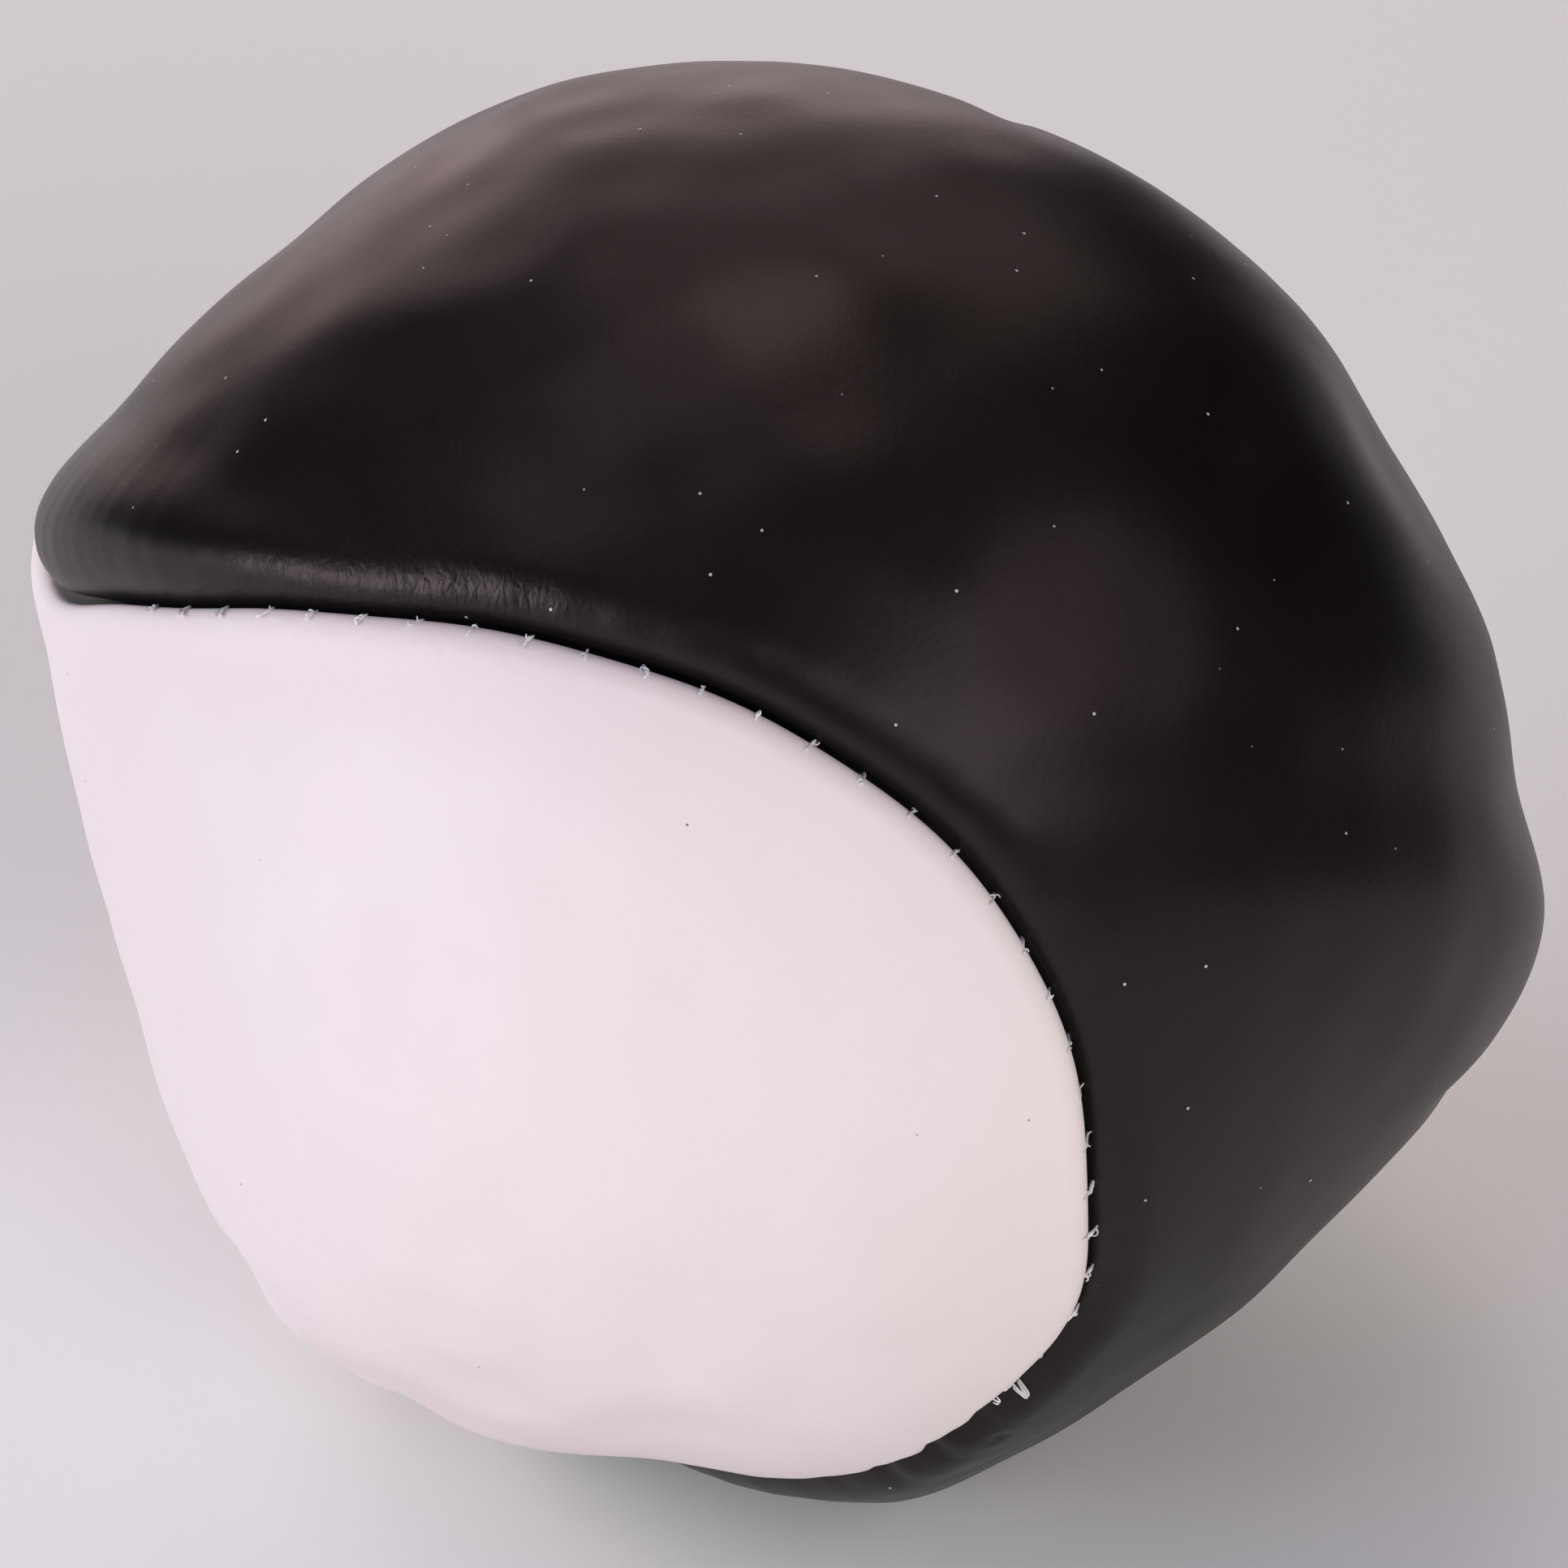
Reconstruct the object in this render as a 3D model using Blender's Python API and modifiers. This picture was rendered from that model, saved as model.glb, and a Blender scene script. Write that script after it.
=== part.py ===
"""Footbag sewn from two dumbbell-shaped faux leather panels and filled with plastic pellets.

Two panels of one shape, turned a quarter round from each other, meet along one closed seam.
Each panel's edge is folded into the bag, a lockstitch joins the two turned-in strips, and a
hand-sewn stretch closes the opening that the pellets went through. The bag rests on a small
flat where its own weight settles it. Units are metres, with +Z up.
"""
import math

import bmesh
import bpy
import numpy as np
from mathutils import Matrix

# Driving dimensions of the bag as a whole
BAG_RADIUS = 0.0270
REST_DEPTH = 0.0250
REST_CUT = 0.0005
CLEARANCE = 0.0003
SAME_POINT = 0.000002

# Cover: the sheet, its fold and the strip turned in beyond the fold
COVER_THICKNESS = 0.0009
FOLD_RADIUS = 0.0015
SEAM_ALLOWANCE = 0.0030
SEAM_GROOVE = 0.0006
SHOULDER_WIDTH = 0.0045

# Threads: the stitch line lies this far below the start of the fold
THREAD_DIAMETER = 0.0004
STITCH_LINE_DEPTH = 0.0012
CLOSING_STITCH_LENGTH = 0.0022
CLOSING_STITCH_WIDTH = 0.0008

# Where the filled bag was closed by hand, the white panel swells over the seam's true line
CLOSING_SWELL = 0.0013

# Fill: each pellet's size
PELLET_DIAMETER = 0.0040
PELLET_THICKNESS = 0.0026

# The side the bag is seen from: its outline there, as shares of BAG_RADIUS every 10 degrees,
# counted from the right toward the top. Off the outline the shares fade, by this power
VIEW_ELEVATION = math.radians(35)
OUTLINE_RADIUS_SHARES = (
    1.03, 1.02, 0.99, 0.97, 0.98, 0.98, 0.98, 0.98, 0.99, 1.00, 1.01, 1.02,
    1.02, 1.02, 1.04, 1.07, 1.13, 1.04, 0.98, 0.95, 0.94, 0.97, 1.00, 1.02,
    1.00, 0.99, 0.97, 0.99, 1.01, 0.99, 0.97, 0.97, 0.97, 1.00, 1.05, 1.08,
)
OUTLINE_FADE_POWER = 3

# How closely the settled bag follows the plane it stands on before it is cut flat there
SETTLE_POWER = 40

# The seam's pattern: its swing from the plane curve, how the filled cover pulls it out of true
# as shares along and across the pattern's axes, and how the pattern lies in the resting bag
SEAM_SWING_SHARE = 0.19
SEAM_PULL_SHARES = ((0.97, -0.02, -0.02), (-0.02, 1.10, 0.00), (-0.02, 0.00, 0.92))
PATTERN_TURN = (math.radians(56.6), math.radians(37.3), math.radians(43.6))
MIDDLE_REACH = math.radians(107)

# Counts: samples round the seam, steps in each fold, rings from shoulder to middle line
SEAM_SAMPLES = 72
FOLD_STEPS = 2
PANEL_RINGS = 4
PELLET_SIDES = 10
PELLET_BANDS = 6
LOWER_HEAP_RINGS = 2
UPPER_HEAP_RINGS = 1

# The closing stretch, as the seam angles it runs between, and the points of its zigzag
CLOSING_SWELL_AT = math.radians(247.5)
CLOSING_SWELL_SPREAD = math.radians(6.5)
CLOSING_START = math.radians(246)
CLOSING_END = math.radians(268)
CLOSING_POINTS = 48

# Each panel: the side of the pattern that its neck crosses, and the bearing of one lobe
BLACK = {"neck": 1, "tip": math.radians(-45)}
WHITE = {"neck": -1, "tip": math.radians(45)}

# Finishes: base colour, roughness, metallic
FINISHES = {
    "black_leather": ((0.022, 0.018, 0.018), 0.42, 0.0),
    "white_leather": ((0.78, 0.72, 0.75), 0.50, 0.0),
    "nylon_thread": ((0.80, 0.79, 0.78), 0.35, 0.0),
    "plastic_pellets": ((0.62, 0.64, 0.66), 0.40, 0.0),
}


def unit(vectors):
    """Vectors scaled to length one."""
    return vectors / np.linalg.norm(vectors, axis=-1, keepdims=True)


def outline_share(bearings):
    """Smooth periodic curve through the outline's radius shares."""
    shares = np.array(OUTLINE_RADIUS_SHARES)
    place = np.mod(bearings, math.tau) / math.tau * len(shares)
    index = np.floor(place).astype(int)
    step = place - index
    before, start, end, after = (shares[(index + shift) % len(shares)] for shift in (-1, 0, 1, 2))
    slope = end - before
    bend = 2 * before - 5 * start + 4 * end - after
    twist = 3 * (start - end) + after - before
    return start + step * (slope + step * (bend + step * twist)) / 2


def bag_radius(directions):
    """Distance from the bag's centre to its skin: the outline seen from the front, faded
    toward the viewer and the far side, and settled toward the plane the bag stands on."""
    right = directions[..., 0]
    up = directions[..., 1] * math.sin(VIEW_ELEVATION) + directions[..., 2] * math.cos(VIEW_ELEVATION)
    edge = np.hypot(right, up)
    share = 1 + (outline_share(np.arctan2(up, right)) - 1) * edge ** OUTLINE_FADE_POWER
    inverse = (BAG_RADIUS * share) ** -SETTLE_POWER
    down = np.clip(-directions[..., 2], 0, None)
    settled = (down / (REST_DEPTH + REST_CUT)) ** SETTLE_POWER
    return (inverse + settled) ** (-1 / SETTLE_POWER)


def cut_flat(points):
    """Points below the resting plane, drawn back to it along their own directions."""
    down = np.clip(-points[..., 2] / REST_DEPTH, 1, None)
    return points / down[..., None]


def lay_pattern(pattern):
    """Directions in the sewing pattern, pulled out of true and turned as the bag lies."""
    about_x, about_y, about_z = (Matrix.Rotation(turn, 3, axis) for turn, axis in zip(PATTERN_TURN, "XYZ"))
    turn = np.array(about_z @ about_y @ about_x)
    return unit(pattern @ np.array(SEAM_PULL_SHARES).T @ turn.T)


def seam_directions(angles):
    """The closed seam of a two-panel ball: a circle that swings up and down twice, and swells
    away from the white panel's middle where the bag was closed."""
    swing = SEAM_SWING_SHARE
    rise = 2 * math.sqrt(swing * (1 - swing))
    across = (1 - swing) * np.cos(angles) + swing * np.cos(3 * angles)
    along = (1 - swing) * np.sin(angles) - swing * np.sin(3 * angles)
    line = lay_pattern(np.stack([across, along, rise * np.sin(2 * angles)], axis=-1))
    swell = CLOSING_SWELL / BAG_RADIUS * np.exp(-((angles - CLOSING_SWELL_AT) / CLOSING_SWELL_SPREAD) ** 2)
    return unit(line + unit(line - middle_directions(angles, WHITE)) * swell[:, None])


def middle_directions(angles, panel):
    """The point on a panel's middle line that faces each angle of the seam."""
    swing = MIDDLE_REACH * np.cos(angles - panel["tip"])
    sideways = np.sin(swing)
    return lay_pattern(np.stack([
        sideways * math.cos(panel["tip"]),
        sideways * math.sin(panel["tip"]),
        panel["neck"] * np.cos(swing),
    ], axis=-1))


def seam_frames(angles):
    """At each angle: the seam's point on the round of the bag, and directions out and across."""
    directions = seam_directions(angles)
    points = directions * bag_radius(directions)[:, None]
    step = math.tau / SEAM_SAMPLES / 2
    ahead = seam_directions(angles + step)
    behind = seam_directions(angles - step)
    along = unit(ahead * bag_radius(ahead)[:, None] - behind * bag_radius(behind)[:, None])
    out = unit(directions - along * (directions * along).sum(axis=-1, keepdims=True))
    return points, out, np.cross(out, along)


def panel_side(panel, angles, across):
    """1 or -1: which way across the seam this panel lies."""
    toward = middle_directions(angles, panel) - seam_directions(angles)
    return math.copysign(1, (toward * across).sum())


def seam_line(panel, angles, offset, depth):
    """Points at a distance across the seam, on a panel's side, and a depth below the round."""
    points, out, across = seam_frames(angles)
    return points + across * panel_side(panel, angles, across) * offset - out * depth


def seam_angles():
    """The angles of the samples round the whole seam."""
    return np.arange(SEAM_SAMPLES) / SEAM_SAMPLES * math.tau


def round_rings(panel, inset):
    """Rings from the shoulder beside the seam to the panel's middle, a distance in from the skin."""
    angles = seam_angles()
    across = seam_frames(angles)[2]
    shoulder = unit(seam_directions(angles)
                    + across * panel_side(panel, angles, across) * SHOULDER_WIDTH / BAG_RADIUS)
    middle = middle_directions(angles, panel)
    rings = []
    for ring in range(PANEL_RINGS + 1):
        share = ring / PANEL_RINGS
        directions = unit(shoulder * (1 - share) + middle * share)
        rings.append(cut_flat(directions * bag_radius(directions)[:, None]) - directions * inset)
    return rings


def fold_profile():
    """Offset from the seam and depth below the round, from the turned-in edge to the fold's top."""
    start = SEAM_GROOVE + FOLD_RADIUS
    profile = [(CLEARANCE / 2, start + SEAM_ALLOWANCE)]
    for step in range(FOLD_STEPS + 1):
        turn = step / FOLD_STEPS * math.pi / 2
        profile.append((CLEARANCE / 2 + FOLD_RADIUS * (1 - math.cos(turn)), start - FOLD_RADIUS * math.sin(turn)))
    return profile


def add_object(name, mesh_or_curve, finish):
    """An object in the part's collection, with its own material, on the bag's empty."""
    item = bpy.data.objects.new(name, mesh_or_curve)
    colour, roughness, metallic = FINISHES[finish]
    material = bpy.data.materials.new(name)
    material.use_nodes = True
    shader = material.node_tree.nodes["Principled BSDF"]
    shader.inputs["Base Color"].default_value = (*colour, 1)
    shader.inputs["Roughness"].default_value = roughness
    shader.inputs["Metallic"].default_value = metallic
    material.diffuse_color = (*colour, 1)
    mesh_or_curve.materials.append(material)
    bpy.data.collections["footbag"].objects.link(item)
    item.parent = bpy.data.objects["bag_centre"]
    return item


def ring_faces(rings, cap_start, cap_end):
    """A smooth mesh through rings of points. A capped end's ring closes on itself, so that
    its facing points, being the same, are merged."""
    shape = bmesh.new()
    rows = [[shape.verts.new(point) for point in ring] for ring in rings]
    for row, following in zip(rows, rows[1:]):
        for index in range(len(row)):
            after = (index + 1) % len(row)
            shape.faces.new((row[index], row[after], following[after], following[index]))
    ends = (rows[0] if cap_start else []) + (rows[-1] if cap_end else [])
    bmesh.ops.remove_doubles(shape, verts=ends, dist=SAME_POINT)
    bmesh.ops.triangulate(shape, faces=[face for face in shape.faces if len(face.verts) > 3])
    for face in shape.faces:
        face.smooth = True
    return shape


def face_outward(shape):
    """Turn every face of an open or closed shell away from the bag's centre."""
    turned_in = sum(face.normal.dot(face.calc_center_median()) * face.calc_area() for face in shape.faces) < 0
    if turned_in:
        bmesh.ops.reverse_faces(shape, faces=shape.faces)


def finish_mesh(shape, name):
    """The mesh data of a bmesh, which is freed."""
    mesh = bpy.data.meshes.new(name)
    shape.to_mesh(mesh)
    shape.free()
    return mesh


def make_panel(name, panel, finish):
    """One cover panel: the round of the bag, the fold beside the seam and the turned-in strip."""
    rings = [seam_line(panel, seam_angles(), offset, depth) for offset, depth in fold_profile()]
    rings = [cut_flat(ring) for ring in rings] + round_rings(panel, 0)
    shape = ring_faces(rings, cap_start=False, cap_end=True)
    face_outward(shape)
    item = add_object(name, finish_mesh(shape, name), finish)
    sheet = item.modifiers.new("cover_thickness", "SOLIDIFY")
    sheet.thickness = COVER_THICKNESS
    sheet.offset = -1
    return item


def add_thread(name, points, closed):
    """A round thread through points."""
    curve = bpy.data.curves.new(name, "CURVE")
    curve.dimensions = "3D"
    curve.bevel_depth = THREAD_DIAMETER / 2
    curve.bevel_resolution = 1
    curve.use_fill_caps = not closed
    line = curve.splines.new("POLY")
    line.points.add(len(points) - 1)
    line.points.foreach_set("co", np.column_stack([points, np.ones(len(points))]).ravel())
    line.use_cyclic_u = closed
    return add_object(name, curve, "nylon_thread")


def make_seam_thread(name, panel):
    """A lockstitch thread along the inner face of a panel's turned-in strip."""
    offset = CLEARANCE / 2 + COVER_THICKNESS + CLEARANCE + THREAD_DIAMETER / 2
    depth = SEAM_GROOVE + FOLD_RADIUS + STITCH_LINE_DEPTH
    return add_thread(name, seam_line(panel, seam_angles(), offset, depth), closed=True)


def make_closing_thread():
    """The hand-sewn thread, crossing from fold to fold in the groove over the seam."""
    angles = np.linspace(CLOSING_START, CLOSING_END, CLOSING_POINTS)
    points, out, across = seam_frames(angles)
    half_gap = (CLOSING_STITCH_WIDTH + THREAD_DIAMETER) / 2 + CLEARANCE
    turn = math.acos(1 - (half_gap - CLEARANCE / 2) / FOLD_RADIUS)
    depth = SEAM_GROOVE + FOLD_RADIUS * (1 - math.sin(turn))
    run = np.linalg.norm(np.diff(points, axis=0, prepend=points[:1]), axis=-1).cumsum()
    swing = np.sin(run / CLOSING_STITCH_LENGTH * math.tau) * CLOSING_STITCH_WIDTH / 2
    return add_thread("closing_thread", points - out * depth + across * swing[:, None], closed=False)


def trench_depth():
    """Depth below the round at which the fill clears the turned-in strips."""
    return SEAM_GROOVE + FOLD_RADIUS + SEAM_ALLOWANCE + CLEARANCE


def trench_half_width():
    """Distance from the seam at which the fill clears the strip and its thread."""
    return CLEARANCE / 2 + COVER_THICKNESS + CLEARANCE + THREAD_DIAMETER + CLEARANCE


def heap_edge(heap_rings):
    """Radius of a layer of pellets: one in the middle and rings of hexagons round it."""
    return (PELLET_DIAMETER + CLEARANCE) * heap_rings + PELLET_DIAMETER / 2


def fill_top():
    """Height of the fill's level top over the bag's centre, at which both layers of loose
    pellets on it stay inside the ends of the turned-in strips all round."""
    inside = BAG_RADIUS * min(OUTLINE_RADIUS_SHARES) - trench_depth()
    layer = PELLET_THICKNESS + CLEARANCE
    lower = math.sqrt(inside ** 2 - heap_edge(LOWER_HEAP_RINGS) ** 2) - layer
    upper = math.sqrt(inside ** 2 - heap_edge(UPPER_HEAP_RINGS) ** 2) - layer * 2
    return min(lower, upper)


def level_fill(points):
    """Points of the fill above its level top, drawn back to it along their own directions."""
    over = np.clip(points[..., 2] / fill_top(), 1, None)
    return points / over[..., None]


def make_fill():
    """The settled pellets as one body: it fills the cover up to a level top, with a trench
    under the seam for the turned-in strips and their threads."""
    rings = []
    for panel in (BLACK, WHITE):
        half = round_rings(panel, COVER_THICKNESS + CLEARANCE)[::-1]
        half.append(seam_line(panel, seam_angles(), trench_half_width(), trench_depth()))
        rings.extend(half if panel is BLACK else half[::-1])
    shape = ring_faces([level_fill(ring) for ring in rings], cap_start=True, cap_end=True)
    face_outward(shape)
    return add_object("pellet_fill", finish_mesh(shape, "pellet_fill"), "plastic_pellets")


def heap_places():
    """Centres of the loose pellets: hexagon rings lying on the fill, and a smaller heap on them."""
    pitch = PELLET_DIAMETER + CLEARANCE
    height = fill_top() + CLEARANCE + PELLET_THICKNESS / 2
    for heap_rings in (LOWER_HEAP_RINGS, UPPER_HEAP_RINGS):
        for row in range(-heap_rings, heap_rings + 1):
            for column in range(-heap_rings, heap_rings + 1):
                if abs(row + column) <= heap_rings:
                    yield (pitch * (column + row / 2), pitch * row * math.sqrt(3) / 2, height)
        height += PELLET_THICKNESS + CLEARANCE


def make_pellets():
    """Loose lens-shaped pellets on top of the fill, each a flattened ball."""
    for number, place in enumerate(heap_places(), start=1):
        name = f"pellet_{number:02d}"
        shape = bmesh.new()
        bmesh.ops.create_uvsphere(shape, u_segments=PELLET_SIDES, v_segments=PELLET_BANDS,
                                  radius=PELLET_DIAMETER / 2)
        for face in shape.faces:
            face.smooth = True
        pellet = add_object(name, finish_mesh(shape, name), "plastic_pellets")
        pellet.scale = (1, 1, PELLET_THICKNESS / PELLET_DIAMETER)
        pellet.location = place


def build():
    """Clear the scene and build every piece of the bag."""
    for item in list(bpy.data.objects):
        bpy.data.objects.remove(item)
    collection = bpy.data.collections.new("footbag")
    bpy.context.scene.collection.children.link(collection)
    centre = bpy.data.objects.new("bag_centre", None)
    centre.location = (0, 0, REST_DEPTH)
    collection.objects.link(centre)
    make_panel("black_panel", BLACK, "black_leather")
    make_panel("white_panel", WHITE, "white_leather")
    make_seam_thread("needle_thread", WHITE)
    make_seam_thread("bobbin_thread", BLACK)
    make_closing_thread()
    make_fill()
    make_pellets()


build()
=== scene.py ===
"""Footbag, dressed: two faux leather panels sewn round a pellet filling, on a pale floor.

Laid out as an add-on: sizes and colours are properties, each piece has an operator, and one
panel in the 3D view's sidebar lists them. Lengths are metres, with +Z up, in the frame of the
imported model. Each cover panel is one surface of two parameters: the angle round the seam, and
the way from the turned-in edge over the fold to the panel's middle line.
"""
import math

import bpy
import numpy as np
from mathutils import Matrix, Vector


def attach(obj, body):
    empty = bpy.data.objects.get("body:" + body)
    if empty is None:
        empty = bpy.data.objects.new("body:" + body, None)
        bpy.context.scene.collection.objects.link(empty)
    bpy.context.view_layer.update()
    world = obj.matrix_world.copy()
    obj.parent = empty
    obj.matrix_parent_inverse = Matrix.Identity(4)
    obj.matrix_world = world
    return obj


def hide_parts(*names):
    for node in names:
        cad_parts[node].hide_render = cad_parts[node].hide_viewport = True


bl_info = {
    "name": "Sewn footbag",
    "version": (1, 0, 0),
    "blender": (4, 5, 0),
    "location": "3D View > Sidebar > Footbag",
    "description": "Makes a two-panel footbag with its covers, stitches and studio",
    "category": "Object",
}

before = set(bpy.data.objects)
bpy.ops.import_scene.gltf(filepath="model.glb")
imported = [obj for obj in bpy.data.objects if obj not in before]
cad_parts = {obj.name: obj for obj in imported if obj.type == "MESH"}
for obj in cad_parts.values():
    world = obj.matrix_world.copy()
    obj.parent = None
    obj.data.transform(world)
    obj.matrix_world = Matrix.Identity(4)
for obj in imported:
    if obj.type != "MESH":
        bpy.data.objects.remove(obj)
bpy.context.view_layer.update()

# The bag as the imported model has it
BAG_RADIUS = 0.0270
REST_DEPTH = 0.0250
REST_CUT = 0.0005
SEAM_GAP = 0.0003
COVER_THICKNESS = 0.0009
SEAM_ALLOWANCE = 0.0030
SHOULDER_WIDTH = 0.0045
CENTRE = Vector((0, 0, REST_DEPTH))
MILLIMETRE = 0.001
VIEW_ELEVATION = math.radians(35)
OUTLINE_RADIUS_SHARES = (
    1.03, 1.02, 0.99, 0.97, 0.98, 0.98, 0.98, 0.98, 0.99, 1.00, 1.01, 1.02,
    1.02, 1.02, 1.04, 1.07, 1.13, 1.04, 0.98, 0.95, 0.94, 0.97, 1.00, 1.02,
    1.00, 0.99, 0.97, 0.99, 1.01, 0.99, 0.97, 0.97, 0.97, 1.00, 1.05, 1.08,
)
OUTLINE_FADE_POWER = 3
SETTLE_POWER = 40
SEAM_SWING_SHARE = 0.19
SEAM_PULL_SHARES = ((0.97, -0.02, -0.02), (-0.02, 1.10, 0.00), (-0.02, 0.00, 0.92))
PATTERN_TURN = (math.radians(56.6), math.radians(37.3), math.radians(43.6))
MIDDLE_REACH = math.radians(107)
CLOSING_SWELL = 0.0013
CLOSING_SWELL_AT = math.radians(247.5)
CLOSING_SWELL_SPREAD = math.radians(6.5)
CLOSING_END = math.radians(268)

# Each panel: the side of the pattern its neck crosses, one lobe's bearing, the width and drop
# of its rounded fold, the seed of its lumps, the depth share and reach of its puckers, the share
# of its gathers, its dips, and its creases by bearing, tilt and heading in degrees, then length,
# width and depth
BLACK = {
    "neck": 1, "tip": math.radians(-45), "fold": 0.0024, "drop": 0.0013,
    "seed": 11, "pucker": 0.2, "gathers": 1.0, "pucker_reach": 0.0024,
    "tip_tuck": 0.0007, "bottom_tuck": 0.0, "edge_tuck": 0.0, "tip_edge_tuck": 0.0,
    "creases": (
        (72.7, 0, 10, 0.0040, 0.0010, 0.00030),
        (337.0, 2, 20, 0.0045, 0.0012, 0.00045),
        (6.0, 0, -15, 0.0040, 0.0012, 0.00030),
        (276.2, 0, 0, 0.0015, 0.0006, 0.00030),
        (288.6, 20, 60, 0.0004, 0.0003, 0.00018),
        (287.5, 13, 80, 0.0030, 0.0006, 0.00006),
    ),
}
WHITE = {
    "neck": -1, "tip": math.radians(45), "fold": 0.0011, "drop": 0.0008,
    "seed": 23, "pucker": 0.15, "gathers": 0.0, "pucker_reach": 0.0022,
    "tip_tuck": 0.0005, "bottom_tuck": 0.0003, "edge_tuck": 0.00025, "tip_edge_tuck": 0.0004,
    "creases": (
        (224.4, -2, 25, 0.0035, 0.0012, 0.00060),
        (240.7, -2, 15, 0.0030, 0.0010, 0.00035),
        (211.5, 0, 10, 0.0025, 0.0008, 0.00008),
    ),
}

# Finishes of the two leathers: the colours of handled patches and of specks, as linear red,
# green, blue and 1, then constants of the shader, the sizes of patches, specks and pebbles, the
# range of roughness, the depth of the grain, and how far the fold's crinkles reach and how deep
BLACK_FINISH = {
    "worn": (0.0045, 0.0034, 0.0030, 1), "speck": (0.55, 0.55, 0.55, 1),
    "shader": {"Specular IOR Level": 0.42, "Specular Tint": (1.0, 0.84, 0.82, 1)},
    "patch": 0.012, "speck_spacing": 0.0017, "speck_radius": 0.00006, "rough": (0.36, 0.42),
    "pebble": 0.00030, "grain_depth": 0.000006, "crinkle_reach": 0.0034, "crinkle_depth": 0.00005,
}
WHITE_FINISH = {
    "worn": (0.78, 0.67, 0.69, 1), "speck": (0.12, 0.09, 0.08, 1),
    "shader": {"Specular IOR Level": 0.4},
    "patch": 0.015, "speck_spacing": 0.0030, "speck_radius": 0.00005, "rough": (0.50, 0.60),
    "pebble": 0.00030, "grain_depth": 0.000006, "crinkle_reach": 0.0020, "crinkle_depth": 0.00003,
}

# What both leathers share. The grain's pebbles are pushed about by a noise of this scale, this
# far, and its streaks are drawn out and turned. The crinkles are noise stretched by a share,
# full up to a distance from the seam; away from the worn place, over whose two distances they
# fade, they are faint and in patches of the next scale.
WARP_SCALE = 900.0
WARP_PUSH = 0.0004
STREAK_STRETCH = (1.0, 0.3, 1.0)
STREAK_TURN = (0.4, 0.2, 0.5)
CRINKLE_STRETCH = 0.55
CRINKLE_FULL = 0.0012
WORN_FADE = (0.0095, 0.0040)
CRINKLE_PATCH_SCALE = 130.0
CRINKLE_FAINT = 0.2

# Finishes that change in soft patches only, from a shade to a light colour. The studio paper's
# shade is a share of its colour.
NYLON_FINISH = {
    "shader": {"Specular IOR Level": 0.6, "Coat Weight": 0.3},
    "patch": 0.0006, "rough": (0.25, 0.45),
    "shade": (0.50, 0.48, 0.50, 1), "light": (0.86, 0.84, 0.84, 1),
}
PELLET_FINISH = {
    "shader": {"Subsurface Weight": 0.2, "Subsurface Scale": 0.001},
    "patch": 0.003, "rough": (0.35, 0.5),
    "shade": (0.62, 0.64, 0.62, 1), "light": (0.80, 0.82, 0.80, 1),
    "pebble": 0.0007, "grain_depth": 0.00002,
}
PAPER_FINISH = {"shader": {"Specular IOR Level": 0.2}, "patch": 0.15, "rough": (0.85, 0.95)}
PAPER_SHADE = 0.985

# Studio lamps: bearing round the bag from the camera's side, anticlockwise seen from above,
# and height, both in degrees, then width, power for red, green and blue, and whether the
# leather's gloss shows the lamp. The fills only lift the shade.
LAMPS = {
    "front key": (27, 33, 0.20, (0.278, 0.266, 0.285), True),
    "front top": (5, 30, 0.20, (0.172, 0.166, 0.176), True),
    "right front": (50, 40, 0.20, (0.145, 0.12, 0.12), True),
    "right key": (78, 40, 0.20, (0.14, 0.12, 0.12), True),
    "left strip": (299, 10, 0.20, (0.86, 0.83, 0.94), True),
    "back paper": (180, 4, 0.20, (0.21, 0.163, 0.163), True),
    "back paper left": (205, 4, 0.20, (0.27, 0.208, 0.208), True),
    "back low": (180, 30, 0.20, (0.10, 0.082, 0.08), True),
    "back right": (150, 40, 0.20, (0.095, 0.078, 0.076), True),
    "back left": (207, 31, 0.20, (0.15, 0.123, 0.122), True),
    "overhead": (180, 69, 0.20, (0.28, 0.232, 0.226), True),
    "left top": (270, 66, 0.20, (0.134, 0.117, 0.12), True),
    "left fill": (270, 10, 0.30, (1.08, 1.21, 1.15), False),
    "right fill": (30, 6, 0.30, (1.48, 1.55, 1.35), False),
    "upper fill": (330, 62, 0.30, (0.03, 0.06, 0.20), False),
    "back fill": (195, 25, 0.30, (0.52, 0.52, 0.50), False),
}
LAMP_DISTANCE = 0.50
FLOOR_HALF = 0.35
FLOOR_BORDER_HALF = 2.5
ROOM_COLOUR = (1.0, 0.98, 0.97)
ROOM_LEVEL = 0.02

# Places round the seam where something differs: the angle at the middle, and the spread to
# either side, in degrees
SEAM_PLACES = {
    "lap": (149, 9),
    "top lean": (175, 19),
    "closing lean": (252, 20),
    "tip dip": (150, 11),
    "bottom dip": (279, 8),
    "tip edge": (148, 8),
    "closing steps": (260.5, 6),
    "fine gathers": (157, 10),
    "long gathers": (160, 14),
    "lapped stitches": (176, 24),
    "wide stitches": (240, 12),
    "bared stitches": (245, 8),
}

# How the two folds lean over each other, how far a panel's dips reach, and how the seam wanders
# from its true line
LEAN_OVER = 0.0011
LEAN_TOP = 0.0007
LEAN_UNDER = 0.0009
HIDING_LAP = 0.06
TUCK_REACH = 0.0060
TUCK_EDGE_REACH = 0.0026
WANDER = 0.0002
WANDER_LENGTH = 0.0130
WANDER_SLIGHT = 0.35
WANDER_STEPS = 0.85
SLOW_WAVE = 0.37
SHIFT_REACH = 0.0035
SHIFT_FULL_DEPTH = SEAM_ALLOWANCE / 6
CLOSING_STEP_LENGTH = 0.0026
CLOSING_STEP_AT = math.radians(257.5)

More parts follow.
